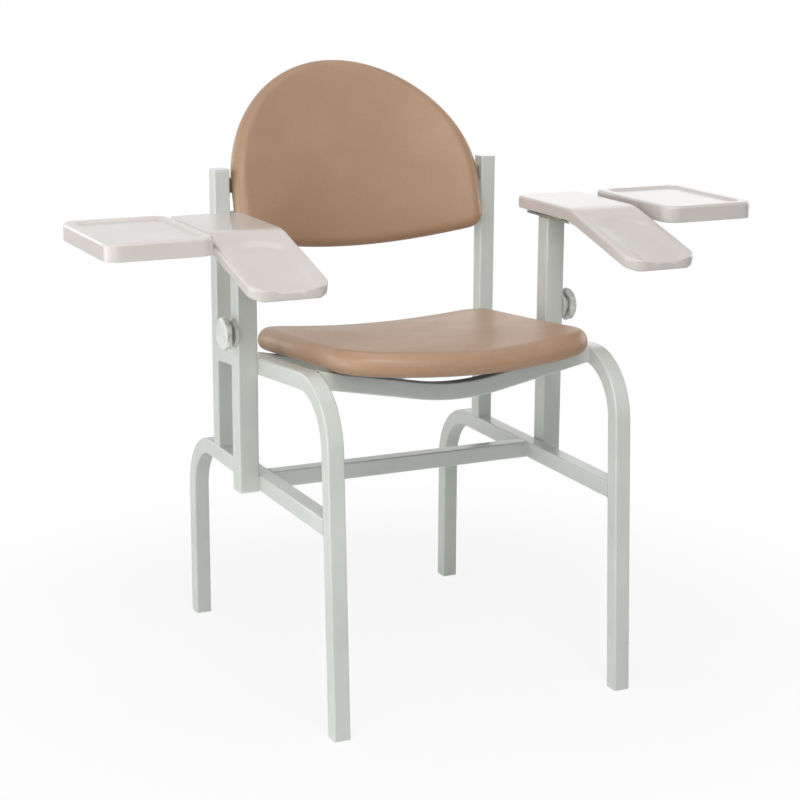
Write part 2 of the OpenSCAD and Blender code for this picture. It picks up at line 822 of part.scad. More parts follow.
// Block over the spacers, its underside lies along the dish at the bolts
module above_spacers() {
  translate([0, 0, seat_rise + seat_dish_radius]) rotate([0, -asin(seat_bolt_place / seat_dish_radius), 0])
    translate([-spacer_diameter, 0, -seat_dish_radius - seat_roll])
      cube([2 * spacer_diameter, beyond, seat_thickness]);
}

module seat_spacers() {
  color("#2C2D2F") difference() {
    for (place = [front_bar_place, rear_bar_place])
      at_seat_bolts(place) translate([0, 0, tube / 2]) spacer(seat_spacer_room);
    on_rails() both_sides() above_spacers();
  }
}

module back_spacers() {
  color("#2C2D2F") difference() {
    union() {
      at_back_bolts(lower_strip_height, lower_slope)
        spacer(back_bolt_room(lower_strip_height, lower_slope));
      at_back_bolts(upper_strip_height, upper_slope)
        spacer(back_bolt_room(upper_strip_height, upper_slope));
    }
    back_sheet(-back_roll, back_roll);
  }
}

module bolt(grip) {
  translate([0, 0, -bolt_head_height]) cylinder(d = bolt_head, h = bolt_head_height);
  cylinder(d = bolt_diameter, h = grip);
}

module seat_bolts() {
  color("#9A9DA0") for (place = [front_bar_place, rear_bar_place])
    at_seat_bolts(place) translate([0, 0, tube / 2 - tube_wall])
      bolt(tube_wall + seat_spacer_room + bolt_depth);
}

module back_bolts() {
  color("#9A9DA0") {
    at_back_bolts(lower_strip_height, lower_slope) translate([0, 0, -strip_thickness])
      bolt(strip_thickness + back_bolt_room(lower_strip_height, lower_slope) + bolt_depth);
    at_back_bolts(upper_strip_height, upper_slope) translate([0, 0, -strip_thickness])
      bolt(strip_thickness + back_bolt_room(upper_strip_height, upper_slope) + bolt_depth);
  }
}

// Sliding arm

module arm_screw_places() {
  translate([post_x, arm_rear_screw_y, arm_strip_z]) children();
  translate([post_x, arm_front_screw_y, arm_strip_z]) children();
}

module tray_screw_places() {
  for (x = [pad_screw_x, tray_screw_in, tray_screw_out])
    translate([x, tray_strip_y, tray_strip_z]) children();
}

module screw(grip) {
  translate([0, 0, -screw_head_height]) cylinder(d = screw_head, h = screw_head_height);
  cylinder(d = screw_diameter, h = grip + screw_depth);
}

module screw_bore(grip) {
  translate([0, 0, -cut]) cylinder(d = screw_diameter + 2 * thread_gap, h = grip + screw_depth + cut);
}

module slide_tube_solid() {
  translate([post_x, post_y, slide_bottom]) linear_extrude(height = arm_strip_z - slide_bottom)
    tube_flat(slide_tube, tube_wall, tube_corner);
}

module arm_strip() {
  half = arm_strip_width / 2;
  difference() {
    translate([post_x, 0, arm_strip_z]) linear_extrude(height = arm_strip_thickness) union() {
      translate([-half, arm_front_screw_y]) square([arm_strip_width, arm_rear_screw_y - arm_front_screw_y]);
      translate([0, arm_rear_screw_y]) circle(r = half);
      translate([0, arm_front_screw_y]) circle(r = half);
    }
    arm_screw_places() screw_bore(arm_strip_thickness);
  }
}

module tray_strip() {
  half = tray_strip_width / 2;
  start = post_x - arm_strip_width / 2;
  difference() {
    translate([0, tray_strip_y, tray_strip_z]) linear_extrude(height = arm_strip_thickness) union() {
      translate([start, -half]) square([tray_screw_out - start, tray_strip_width]);
      translate([tray_screw_out, 0]) circle(r = half);
    }
    tray_screw_places() screw_bore(arm_strip_thickness);
  }
}

module pad_spacers() {
  arm_screw_places() translate([0, 0, arm_strip_thickness]) difference() {
    cylinder(d = arm_spacer_diameter, h = arm_strip_thickness);
    screw_bore(arm_strip_thickness);
  }
}

module arm_screws() {
  arm_screw_places() screw(2 * arm_strip_thickness);
  tray_screw_places() screw(arm_strip_thickness);
}

// Arm pad, a row of cross sections along its bent middle line

function pad_turn(l) = l < pad_flat ? 0 : min(pad_fall, (l - pad_flat) / pad_arc * pad_fall);

function pad_line(l) =
  let (turn = pad_turn(l), on = max(0, l - pad_flat - pad_arc))
  [min(l, pad_flat) + pad_elbow_radius * sin(turn) + on * cos(pad_fall),
   -pad_elbow_radius * (1 - cos(turn)) - on * sin(pad_fall)];

// Rounded end of a size, at a distance from the end
function end_round(size, radius, d) =
  d >= radius ? size : size - radius + sqrt(max(0, radius * radius - pow(radius - d, 2)));

function smooth(v) = let (s = max(0, min(1, v))) s * s * (3 - 2 * s);

function pad_section(l) =
  let (
    rear = l,
    tip = pad_length - l,
    corner = rear < tip ? pad_rear_corner : pad_tip_corner,
    d = min(rear, tip),
    w = end_round(pad_width / 2, corner, d),
    thin = (pad_thickness - pad_tip_thickness) * max(0, l - pad_flat - pad_arc) / pad_front,
    t = end_round((pad_thickness - thin) / 2, pad_edge, d),
    e = min(pad_edge, t),
    start = pad_flat + pad_arc + pad_front * trough_start_share,
    dish = trough_depth * smooth((l - start) / (pad_front * trough_run_share)),
    inner = max(w - pad_edge - trough_rim, w / 2),
    across = concat(
      [for (i = [0:2]) [w - e + e * cos(-90 + 45 * i), -t + e + e * sin(-90 + 45 * i)]],
      [for (i = [0:2]) [w - e + e * cos(45 * i), t - e + e * sin(45 * i)]],
      [for (i = [len(across_shares) - 1:-1:0]) let (x = across_shares[i] * (w - e))
        [x, t - dish * (1 - pow(min(1, abs(x) / inner), 4))]],
      [for (i = [0:2]) [e - w + e * cos(90 + 45 * i), t - e + e * sin(90 + 45 * i)]],
      [for (i = [0:2]) [e - w + e * cos(180 + 45 * i), -t + e + e * sin(180 + 45 * i)]]
    ),
    place = pad_line(l),
    turn = pad_turn(l)
  )
  [for (p = across) let (up = p[1] + thin / 2) [pad_x + p[0], pad_rear_y - place[0] - up * sin(turn),
    pad_under + pad_thickness / 2 + place[1] + up * cos(turn)]];

function pad_stations() = concat(
  [0, pad_edge / 4, pad_edge, pad_rear_corner],
  [for (i = [1:3]) pad_rear_corner + (pad_flat - pad_rear_corner) * i / 3],
  [for (i = [1:4]) pad_flat + pad_arc * i / 4],
  [for (i = [1:7]) pad_flat + pad_arc + (pad_front - pad_tip_corner) * i / 7],
  [for (i = [1:4]) pad_length - pad_tip_corner + (pad_tip_corner - pad_edge) * sin(90 * i / 4)],
  [pad_length - pad_edge / 4, pad_length]
);

module arm_pad() {
  rings = [for (l = pad_stations()) pad_section(l)];
  first = (rings[0][1] + rings[0][len(rings[0]) - 2]) / 2;
  end = rings[len(rings) - 1];
  last = (end[1] + end[len(end) - 2]) / 2;
  difference() {
    ring_body(first, rings, last);
    arm_screw_places() screw_bore(2 * arm_strip_thickness);
    tray_screw_places() screw_bore(arm_strip_thickness);
  }
}

// Tray, a slab with round upper edges, hollow from below

module edge_flat() {
  union() {
    square([tray_corner - tray_edge, tray_height]);
    square([tray_corner, tray_height - tray_edge]);
    translate([tray_corner - tray_edge, tray_height - tray_edge]) circle(r = tray_edge);
  }
}

module tray_slab() {
  in_x = tray_width / 2 - tray_corner;
  in_y = tray_length / 2 - tray_corner;
  union() {
    translate([-in_x, -in_y, 0]) cube([2 * in_x, 2 * in_y, tray_height]);
    for (sx = [0, 1]) mirror([sx, 0, 0]) {
      translate([in_x, in_y, 0]) rotate([90, 0, 0]) linear_extrude(height = 2 * in_y) edge_flat();
      for (sy = [0, 1]) mirror([0, sy, 0]) translate([in_x, in_y, 0])
        rotate_extrude(angle = 90) edge_flat();
    }
    for (sy = [0, 1]) mirror([0, sy, 0]) translate([-in_x, in_y, 0])
      rotate([90, 0, 90]) linear_extrude(height = 2 * in_x) edge_flat();
  }
}

module tray() {
  floor_top = tray_height - tray_recess;
  floor_under = floor_top - tray_wall;
  recess_across = tray_width - 2 * tray_rim;
  recess_along = tray_length - 2 * tray_rim;
  hollow_corner = tray_corner - tray_wall;
  difference() {
    translate([tray_x, tray_y, pad_under]) difference() {
      tray_slab();
      translate([0, 0, floor_top]) linear_extrude(height = tray_height)
        rounded_square(recess_across, recess_along, tray_corner - tray_edge);
      difference() {
        translate([0, 0, -cut]) linear_extrude(height = floor_under + cut)
          rounded_square(tray_width - 2 * tray_wall, tray_length - 2 * tray_wall, hollow_corner);
        for (sx = [-1, 1])
          translate([sx * tray_width * tray_end_share, tray_strip_y - tray_y, -cut])
            cylinder(d = tray_boss, h = tray_height);
        for (sy = [-1, 1])
          translate([0, sy * tray_length / 4, tray_height / 2 + tray_wall])
            cube([tray_width, tray_wall / 2, tray_height], center = true);
        translate([0, 0, tray_height / 2 + tray_wall])
          cube([tray_wall / 2, tray_length, tray_height], center = true);
      }
    }
    tray_screw_places() screw_bore(arm_strip_thickness);
  }
}

module left_slide_tube() { color("#C9CDCA") mirror([1, 0, 0]) slide_tube_solid(); }
module right_slide_tube() { color("#C9CDCA") slide_tube_solid(); }
module left_arm_strip() { color("#8E9599") mirror([1, 0, 0]) arm_strip(); }
module right_arm_strip() { color("#8E9599") arm_strip(); }
module left_tray_strip() { color("#8E9599") mirror([1, 0, 0]) tray_strip(); }
module right_tray_strip() { color("#8E9599") tray_strip(); }
module left_pad_spacers() { color("#2C2D2F") mirror([1, 0, 0]) pad_spacers(); }
module right_pad_spacers() { color("#2C2D2F") pad_spacers(); }
module left_pad() { color("#D0C8C3") mirror([1, 0, 0]) arm_pad(); }
module right_pad() { color("#D0C8C3") arm_pad(); }
module left_tray() { color("#D0C8C3") mirror([1, 0, 0]) tray(); }
module right_tray() { color("#D0C8C3") tray(); }
module left_arm_screws() { color("#9A9DA0") mirror([1, 0, 0]) arm_screws(); }
module right_arm_screws() { color("#9A9DA0") arm_screws(); }

// Clamp knobs

knob_x = post_x + post / 2 + plate_thickness + knob_gap;
knob_length = hub_length + knob_thickness;
stud_in = knob_x - post_x - slide_tube / 2 - tip_gap;
stud_hold = knob_length - knob_hollow;

module at_knob() {
  translate([knob_x, post_y, knob_height]) rotate([0, 90, 0]) children();
}

// Outline of a knob head, round lobes that run over into round notches
knob_lobe = knob_diameter * lobe_share;
knob_notch = knob_diameter * notch_share;
lobe_reach = knob_diameter / 2 - knob_lobe;
lobe_turn = 180 / knob_lobes;
notch_reach = lobe_reach * cos(lobe_turn)
  + sqrt(pow(knob_lobe + knob_notch, 2) - pow(lobe_reach * sin(lobe_turn), 2));
lobe_end = atan2(notch_reach * sin(lobe_turn), notch_reach * cos(lobe_turn) - lobe_reach);

function turned(point, turn) =
  [point[0] * cos(turn) - point[1] * sin(turn), point[0] * sin(turn) + point[1] * cos(turn)];

function knob_outline() =
  let (
    lobe = arc_points([lobe_reach, 0], knob_lobe, -lobe_end, 2 * lobe_end, lobe_steps),
    notch = arc_points(turned([notch_reach, 0], lobe_turn), knob_notch, lobe_end + 180,
      -2 * (lobe_end - lobe_turn), notch_steps)
  )
  [for (k = [0:knob_lobes - 1], p = concat(
    [for (i = [0:lobe_steps - 1]) lobe[i]], [for (i = [0:notch_steps - 1]) notch[i]]))
    turned(p, 2 * lobe_turn * k)];

module knob_head() {
  line = knob_outline();
  sides = normals(line);
  rings = concat(
    [for (i = [0:round_steps]) let (turn = 90 * i / round_steps)
      [for (p = shrunk(line, sides, [0, 0], 1, knob_edge * (sin(turn) - 1)))
        [p[0], p[1], knob_length - knob_edge * (1 - cos(turn))]]],
    [for (i = [0:round_steps]) let (turn = 90 * i / round_steps)
      [for (p = shrunk(line, sides, [0, 0], 1, knob_edge * (cos(turn) - 1)))
        [p[0], p[1], hub_length + knob_edge * (1 - sin(turn))]]]
  );
  ring_body([0, 0, knob_length], rings, [0, 0, hub_length]);
}

module knob() {
  at_knob() difference() {
    union() {
      knob_head();
      cylinder(d = hub_diameter, h = hub_length + cut);
    }
    difference() {
      translate([0, 0, hub_length - cut])
        cylinder(r = notch_reach - knob_notch - knob_edge - knob_rim, h = knob_hollow + cut);
      translate([0, 0, -cut]) cylinder(d = hub_diameter, h = knob_length);
    }
    translate([0, 0, -cut]) cylinder(d = stud_diameter + 2 * thread_gap, h = stud_hold + cut);
    translate([0, 0, knob_length - groove_depth]) difference() {
      cylinder(d = groove_diameter, h = cut);
      translate([0, 0, -cut]) cylinder(d = groove_diameter - 2 * groove_width, h = 3 * cut);
    }
  }
}

module stud() {
  at_knob() translate([0, 0, -stud_in]) cylinder(d = stud_diameter, h = stud_in + stud_hold);
}

module left_knob() { color("#C9CDCA") mirror([1, 0, 0]) knob(); }
module right_knob() { color("#C9CDCA") knob(); }
module left_stud() { color("#9A9DA0") mirror([1, 0, 0]) stud(); }
module right_stud() { color("#9A9DA0") stud(); }

left_front_tube();
right_front_tube();
left_rear_tube();
right_rear_tube();
left_upright();
right_upright();
cross_bar();
front_seat_bar();
rear_seat_bar();
lower_back_strip();
upper_back_strip();
left_post();
right_post();
left_knob_plate();
right_knob_plate();
front_feet();
rear_feet();
upright_caps();
post_plugs();
seat_board();
seat_cushion();
seat_spacers();
seat_bolts();
back_board();
back_cushion();
back_spacers();
back_bolts();
left_slide_tube();
left_arm_strip();
left_tray_strip();
left_pad_spacers();
left_pad();
left_tray();
left_arm_screws();
right_slide_tube();
right_arm_strip();
right_tray_strip();
right_pad_spacers();
right_pad();
right_tray();
right_arm_screws();
left_knob();
left_stud();
right_knob();
right_stud();
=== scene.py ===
import json
import math

import bpy
import numpy as np
from mathutils import Matrix, Vector


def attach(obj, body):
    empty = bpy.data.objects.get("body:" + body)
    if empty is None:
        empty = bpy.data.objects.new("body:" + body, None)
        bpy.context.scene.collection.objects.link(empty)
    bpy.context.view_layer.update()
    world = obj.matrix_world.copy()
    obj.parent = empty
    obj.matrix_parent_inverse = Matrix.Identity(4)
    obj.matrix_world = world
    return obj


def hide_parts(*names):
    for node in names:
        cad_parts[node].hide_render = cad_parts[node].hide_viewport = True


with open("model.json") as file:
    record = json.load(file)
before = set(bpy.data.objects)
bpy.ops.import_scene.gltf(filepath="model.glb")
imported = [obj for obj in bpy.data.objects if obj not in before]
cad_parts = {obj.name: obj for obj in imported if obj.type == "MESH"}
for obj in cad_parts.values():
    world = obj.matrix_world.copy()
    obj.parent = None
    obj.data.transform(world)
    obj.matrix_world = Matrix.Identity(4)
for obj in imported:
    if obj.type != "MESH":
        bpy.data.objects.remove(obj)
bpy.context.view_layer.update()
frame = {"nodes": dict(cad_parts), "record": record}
scene = bpy.context.scene
print("frame loaded,", len(frame["nodes"]), "nodes")


# Colours as the eye reads them, turned into the values that Blender mixes
def colour(red, green, blue):
    return tuple((c / 255 / 12.92) if c < 10.3 else ((c / 255 + 0.055) / 1.055) ** 2.4
                 for c in (red, green, blue)) + (1.0,)


# A socket that can be added, multiplied and so on in plain Python
class Wire:
    def __init__(self, nodes, socket):
        self.nodes, self.socket = nodes, socket

    def maths(self, operation, *values):
        return self.nodes.node("ShaderNodeMath", {"operation": operation}, *values)

    def __add__(self, other): return self.maths("ADD", self, other)
    def __radd__(self, other): return self.maths("ADD", other, self)
    def __sub__(self, other): return self.maths("SUBTRACT", self, other)
    def __rsub__(self, other): return self.maths("SUBTRACT", other, self)
    def __mul__(self, other): return self.maths("MULTIPLY", self, other)
    def __rmul__(self, other): return self.maths("MULTIPLY", other, self)

    def span(self, low, high, first=0.0, last=1.0):
        return self.nodes.node("ShaderNodeMapRange", {"clamp": True, "interpolation_type": "SMOOTHSTEP"},
                               self, low, high, first, last)


# The nodes of a material or of the world: each is added from its type, its settings and its values
class Nodes:
    def __init__(self, owner):
        owner.use_nodes = True
        self.tree = owner.node_tree
        self.tree.nodes.clear()

    def node(self, kind, settings, *values, output=0, **named):
        made = self.tree.nodes.new(kind)
        for key, value in settings.items():
            setattr(made, key, value)
        for key, value in [*enumerate(values), *named.items()]:
            if isinstance(value, Wire):
                self.tree.links.new(value.socket, made.inputs[key])
            else:
                made.inputs[key].default_value = value
        return Wire(self, made.outputs[output])

    def show(self, kind, surface):
        result = self.tree.nodes.new(kind)
        self.tree.links.new(surface.socket, result.inputs["Surface"])


# A material around one Principled shader, its patterns lie in the place of the piece itself
class Finish(Nodes):
    sockets = {"Roughness": ("roughness", 0.5), "Metallic": ("metallic", 0.0), "Coat Weight": ("coat", 0.0),
               "Specular IOR Level": ("specular", 0.5), "Coat Roughness": ("coatRoughness", 0.1)}

    def __init__(self, name, values):
        self.material = bpy.data.materials.new(name)
        super().__init__(self.material)
        self.shader = self.tree.nodes.new("ShaderNodeBsdfPrincipled")
        self.surface = Wire(self, self.shader.outputs[0])
        for socket, (key, usual) in self.sockets.items():
            self.shader.inputs[socket].default_value = values.get(key, usual)
        self.values = values
        self.place = self.node("ShaderNodeTexCoord", {}, output="Object")

    def feed(self, socket, value):
        self.tree.links.new(value.socket, self.shader.inputs[socket])

    def stretched(self, x, y, z):
        return self.node("ShaderNodeMapping", {}, Vector=self.place, Scale=(x, y, z))

    def noise(self, scale, detail=2.0, roughness=0.5, distortion=0.0, place=None):
        return self.node("ShaderNodeTexNoise", {}, Vector=place or self.place, Scale=scale, Detail=detail,
                         Roughness=roughness, Distortion=distortion)

    def cells(self, scale, place=None, feature="F1"):
        return self.node("ShaderNodeTexVoronoi", {"feature": feature}, Vector=place or self.place, Scale=scale)

    def blend(self, factor, first, second):
        made = self.tree.nodes.new("ShaderNodeMix")
        made.data_type = "RGBA"
        for index, value in ((0, factor), (6, first), (7, second)):
            if isinstance(value, Wire):
                self.tree.links.new(value.socket, made.inputs[index])
            else:
                made.inputs[index].default_value = value
        return Wire(self, made.outputs[2])

    # Two of the finish's own colours, mixed in soft clouds
    def clouded(self, pattern, first, second, low=0.3, high=0.7):
        return self.blend(pattern.span(low, high), self.values[first], self.values[second])

    # Roughness that goes a little below and above the finish's own
    def wander(self, pattern, low=0.2, high=0.8):
        smoother, rougher = self.values["spread"]
        return pattern.span(low, high, self.values["roughness"] + smoother, self.values["roughness"] + rougher)

    # The material, once its colour, roughness and relief are in place
    def finished(self, tone, roughness, height):
        bump = self.node("ShaderNodeBump", {}, Strength=self.values["bump"], Distance=self.values["depth"],
                         Height=height)
        for socket, value in (("Base Color", tone), ("Roughness", roughness), ("Normal", bump)):
            self.feed(socket, value)
        self.show("ShaderNodeOutputMaterial", self.surface)
        return self.material


# Powder coat on the steel tubes: fine orange peel, soft clouding, a little rubbing near the floor
powderCoat = {"tint": colour(212, 216, 210), "shade": colour(203, 208, 202), "scuff": colour(176, 178, 172),
              "roughness": 0.3, "spread": (-0.03, 0.04), "coat": 0.35, "coatRoughness": 0.14, "cloud": 9.0,
              "speck": 70.0, "scuffTop": 0.16, "scuffShare": 0.5, "peel": 620.0, "ripple": 140.0,
              "bump": 0.35, "depth": 0.00004}


def makePowderCoat(name, values):
    f = Finish(name, values)
    cloud = f.noise(values["cloud"], 3.0, 0.55)
    speck = f.noise(values["speck"], 4.0, 0.6)
    low = f.node("ShaderNodeSeparateXYZ", {}, f.place, output=2).span(values["scuffTop"], 0.0)
    scuff = (speck * 0.7 + cloud * 0.5).span(0.66, 0.8) * low * values["scuffShare"]
    tone = f.blend(scuff, f.clouded(cloud, "tint", "shade"), values["scuff"])
    return f.finished(tone, f.wander(cloud) + scuff * 0.2,
                      f.noise(values["peel"], 2.0, 0.4) * 0.7 + f.noise(values["ripple"], 1.0) * 0.3)


# Tan leatherette: pebbled grain with fine creases, slightly uneven colour, and painted shade darkening the
# valleys of the grain
# The third colour is painted shade, laid into the valleys of the pebbled grain
leatherette = {"tint": colour(178, 144, 116), "shade": colour(169, 135, 107), "valleyShade": colour(124, 94, 73),
               "valleyShadeShare": 0.28, "roughness": 0.38, "spread": (-0.04, 0.05), "specular": 0.45, "coat": 0.12,
               "coatRoughness": 0.2, "grain": 620.0, "foldShare": 0.37, "fine": 2600.0, "cloud": 7.0,
               "waver": 180.0, "waverSize": 0.0011, "bump": 0.4, "depth": 0.00009}


def makeLeatherette(name, values):
    f = Finish(name, values)
    waver = f.node("ShaderNodeTexNoise", {}, output=1, Vector=f.place, Scale=values["waver"])
    bend = f.node("ShaderNodeVectorMath", {"operation": "ADD"}, f.place,
                  f.node("ShaderNodeVectorMath", {"operation": "SCALE"}, waver, Scale=values["waverSize"]))
    pebble = f.cells(values["grain"], bend, "DISTANCE_TO_EDGE")
    folds = f.cells(values["grain"] * values["foldShare"], bend)
    fine = f.noise(values["fine"], 2.0, 0.6)
    cloud = f.noise(values["cloud"], 3.0)
    valley = 1 - pebble.span(0.0, 0.16)
    # Painted shade: the valleys of the grain are darkened towards the third colour
    tone = f.blend(valley * values["valleyShadeShare"], f.clouded(cloud, "tint", "shade"), values["valleyShade"])
    return f.finished(tone, f.wander(cloud, 0.25, 0.75) + valley * 0.08,
                      pebble.span(0.0, 0.3) * 0.7 + folds * 0.25 + fine * 0.12)


# Satin moulded plastic: fine spark eroded grain, faint flow clouds
satinPlastic = {"tint": colour(212, 206, 201), "shade": colour(206, 200, 195), "roughness": 0.3,
                "spread": (-0.02, 0.03), "coat": 0.5, "coatRoughness": 0.08, "cloud": 11.0, "grain": 1500.0,
                "bump": 0.12, "depth": 0.00003}


def makeSatinPlastic(name, values):
    f = Finish(name, values)
    cloud = f.noise(values["cloud"], 3.0, 0.5, 0.4)
    return f.finished(f.clouded(cloud, "tint", "shade"), f.wander(cloud), f.noise(values["grain"], 2.0, 0.55))


# Zinc plated steel, rolled along its length
zincSteel = {"tint": colour(188, 192, 190), "shade": colour(164, 168, 168), "dull": colour(204, 207, 206),
             "dullShare": 0.35, "roughness": 0.36, "spread": (-0.08, 0.12), "metallic": 0.9, "cloud": 60.0,
             "rolled": 40.0, "stretch": (1.0, 14.0, 8.0), "spangle": 260.0, "bump": 0.25, "depth": 0.0001}


def makeZinc(name, values):
    f = Finish(name, values)
    rolled = f.noise(values["rolled"], 5.0, 0.6, place=f.stretched(*values["stretch"]))
    spangle = f.cells(values["spangle"])
    cloud = f.noise(values["cloud"], 3.0)
    tone = f.clouded(cloud, "tint", "shade")
    tone = f.blend(spangle.span(0.2, 0.6) * values["dullShare"], tone, values["dull"])
    return f.finished(tone, f.wander(rolled), rolled * 0.6 + spangle * 0.4)


# Moulded plywood with a dark stain: long grain, pores and darker rings
plywood = {"light": colour(58, 51, 46), "dark": colour(42, 37, 34), "pore": colour(24, 20, 18),
           "roughness": 0.55, "spread": (-0.08, 0.08), "specular": 0.4, "coat": 0.1, "coatRoughness": 0.3,
           "rings": 6.0, "ringStretch": (2.0, 16.0, 16.0), "pores": 90.0, "poreStretch": (3.0, 30.0, 30.0),
           "bump": 0.3, "depth": 0.0002}


def makePlywood(name, values):
    f = Finish(name, values)
    rings = f.noise(values["rings"], 4.0, 0.6, 1.2, place=f.stretched(*values["ringStretch"]))
    pore = f.noise(values["pores"], 2.0, 0.6, place=f.stretched(*values["poreStretch"])).span(0.62, 0.74)
    tone = f.blend(pore * 0.5, f.clouded(rings, "light", "dark", 0.32, 0.68), values["pore"])
    return f.finished(tone, f.wander(rings), rings * 0.5 - pore * 0.5)


# Dull black rubber with a little dust
darkRubber = {"tint": colour(44, 45, 47), "dust": colour(82, 81, 78), "dustScale": 60.0, "dustShare": 0.4,
              "roughness": 0.62, "spread": (-0.08, 0.1), "specular": 0.35, "grain": 900.0, "bump": 0.35,
              "depth": 0.00008}


def makeRubber(name, values):
    f = Finish(name, values)
    dust = f.noise(values["dustScale"], 5.0, 0.65).span(0.5, 0.78)
    grain = f.noise(values["grain"], 3.0, 0.6)
    tone = f.blend(dust * values["dustShare"], values["tint"], values["dust"])
    return f.finished(tone, f.wander(grain), grain)


# Dark back of the cover for the hems, made like the leatherette, with its own painted shade colour in the grain
# valleys
coverBack = dict(leatherette, tint=colour(50, 52, 58), shade=colour(42, 44, 50), valleyShade=colour(28, 29, 33),
                 grain=1100.0, roughness=0.6)
knobPlastic = dict(satinPlastic, tint=colour(222, 224, 219), shade=colour(215, 218, 212), roughness=0.28)
capPlastic = dict(satinPlastic, tint=colour(216, 219, 216), shade=colour(208, 211, 207), roughness=0.34)
boltSteel = dict(zincSteel, tint=colour(196, 199, 202), shade=colour(170, 174, 178), dull=colour(208, 210, 212),
                 roughness=0.28)

finishes = {
    "frame_paint": makePowderCoat("powderCoat", powderCoat),
    "upholstery": makeLeatherette("leatherette", leatherette),
    "pad_plastic": makeSatinPlastic("padPlastic", satinPlastic),
    "tray_plastic": makeSatinPlastic("trayPlastic", satinPlastic),
    "zinc_strip": makeZinc("zincStrip", zincSteel),
    "plated_steel": makeZinc("boltSteel", boltSteel),
    "plywood": makePlywood("mouldedPlywood", plywood),
    "spacer_rubber": makeRubber("spacerRubber", darkRubber),
    "light_plastic": makeSatinPlastic("capPlastic", capPlastic),
    "knob_plastic": makeSatinPlastic("knobPlastic", knobPlastic),
}
for part in frame["record"]["subparts"]:
    node = frame["nodes"][part["node"]]
    node.data.materials.clear()
    node.data.materials.append(finishes[part["material_slot"]])
print("finishes on the frame,", len(finishes))


# Helpers for meshes built in code
def makePiece(name, points, faces, finish, smooth=True):
    mesh = bpy.data.meshes.new(name)
    mesh.from_pydata([tuple(p) for p in points], [], [tuple(int(i) for i in face) for face in faces])
    mesh.validate()
    mesh.polygons.foreach_set("use_smooth", [smooth] * len(mesh.polygons))
    mesh.materials.append(finish)
    piece = bpy.data.objects.new(name, mesh)
    scene.collection.objects.link(piece)
    return piece


# A closed line cut into four sides of equal steps, each starting at the next corner
def fourSides(line, corners, steps):
    sides = []
    for a, b in zip(corners, corners[1:] + [corners[0] + len(line)]):
        run = np.array([line[i % len(line)] for i in range(a, b + 1)])
        along = np.concatenate([[0], np.cumsum(np.linalg.norm(np.diff(run, axis=0), axis=1))])
        at = np.linspace(0, along[-1], steps + 1)
        sides.append(np.stack([np.interp(at, along, run[:, k]) for k in (0, 1)], axis=1))
    return sides


# Net of points that fills four sides
def fillNet(sides):
    low, right, high, left = sides[0], sides[1], sides[2][::-1], sides[3][::-1]
    n = len(low) - 1
    u = np.linspace(0, 1, n + 1)[:, None, None]
    v = np.linspace(0, 1, n + 1)[None, :, None]
    return ((1 - v) * low[:, None] + v * high[:, None] + (1 - u) * left[None] + u * right[None]
            - (1 - u) * (1 - v) * low[0] - u * (1 - v) * low[-1] - (1 - u) * v * high[0] - u * v * high[-1])


# Border of a net in order, all the way round
def netBorder(n):
    return ([(i, 0) for i in range(n)] + [(n, j) for j in range(n)]
            + [(n - i, n) for i in range(n)] + [(0, n - j) for j in range(n)])


# Directions that point out of a closed line
def outward(line):
    along = np.roll(line, -1, axis=0) - np.roll(line, 1, axis=0)
    return np.stack([along[:, 1], -along[:, 0]], axis=1) / np.linalg.norm(along, axis=1)[:, None]


def arc(x, y, radius, start, turn, steps):
    return [(x + radius * math.cos(math.radians(start + turn * i / steps)),
             y + radius * math.sin(math.radians(start + turn * i / steps))) for i in range(steps + 1)]


# Points between two others, without the two
def between(a, b, steps):
    return [(a[0] + (b[0] - a[0]) * i / steps, a[1] + (b[1] - a[1]) * i / steps) for i in range(1, steps)]


# A cushion from its outline: crowned face, rolled edge and a pocket behind for the board
def makeCushion(name, values, line, corners, place, flatPlace, pocketPlace, finish):
    steps, roll = values["netSteps"], values["roll"]
    sides = fourSides(line, corners, steps)
    net = fillNet(sides)
    border = netBorder(steps)
    u = np.linspace(-1, 1, steps + 1)
    swell = (1 - u[:, None] ** 2) * (1 - u[None] ** 2)
    edge = np.array([net[i, j] for i, j in border])
    normal = outward(edge)
    width = steps + 1
    cells = [(i * width + j, (i + 1) * width + j, (i + 1) * width + j + 1, i * width + j + 1)
             for i in range(steps) for j in range(steps)]
    points = [place(net[i, j], roll + values["crown"] * swell[i, j])
              for i in range(width) for j in range(width)]
    faces = list(cells)
    last = [i * width + j for i, j in border]

    def addRing(ring):
        nonlocal last
        start = len(points)
        points.extend(ring)
        count = len(ring)
        for k in range(count):
            m = (k + 1) % count
            faces.append((last[k], start + k, start + m, last[m]))
        last = list(range(start, start + count))

    power = 2 / values["square"]
    for s in range(1, values["rollSteps"] + 1):
        turn = math.radians(90 - 180 * s / values["rollSteps"])
        out = roll * abs(math.cos(turn)) ** power
        up = roll * math.copysign(abs(math.sin(turn)) ** power, math.sin(turn))
        addRing([place(p + out * d, up) for p, d in zip(edge, normal)])
    held = len(points) - len(border) * (values["rollSteps"] // 3)  # the last third of the roll stays put
    centre = np.array(values["centre"])
    share = 1 - (values["boardInset"] - roll) / values["half"]
    depth = values["board"] / 2 - roll
    inner = [np.array(flatPlace(centre + share * (p - centre) + values["gap"] * d, depth))
             for p, d in zip(edge, normal)]
    addRing([pocketPlace(p, -roll) for p in inner])
    ceiling = values["board"] + values["gap"] - roll
    pocketNet = fillNet([np.array(inner[k * steps:(k + 1) * steps + 1] if k < 3
                                  else inner[3 * steps:] + inner[:1]) for k in range(4)])
    start = len(points)
    points += [pocketPlace(pocketNet[i, j], ceiling) for i in range(width) for j in range(width)]
    faces += [(start + a, start + d, start + c, start + b) for a, b, c, d in cells]
    top = [start + i * width + j for i, j in border]
    for k in range(len(border)):
        m = (k + 1) % len(border)
        faces.append((last[k], top[k], top[m], last[m]))
    return makePiece(name, points, faces, finish), list(range(held, len(points))), inner


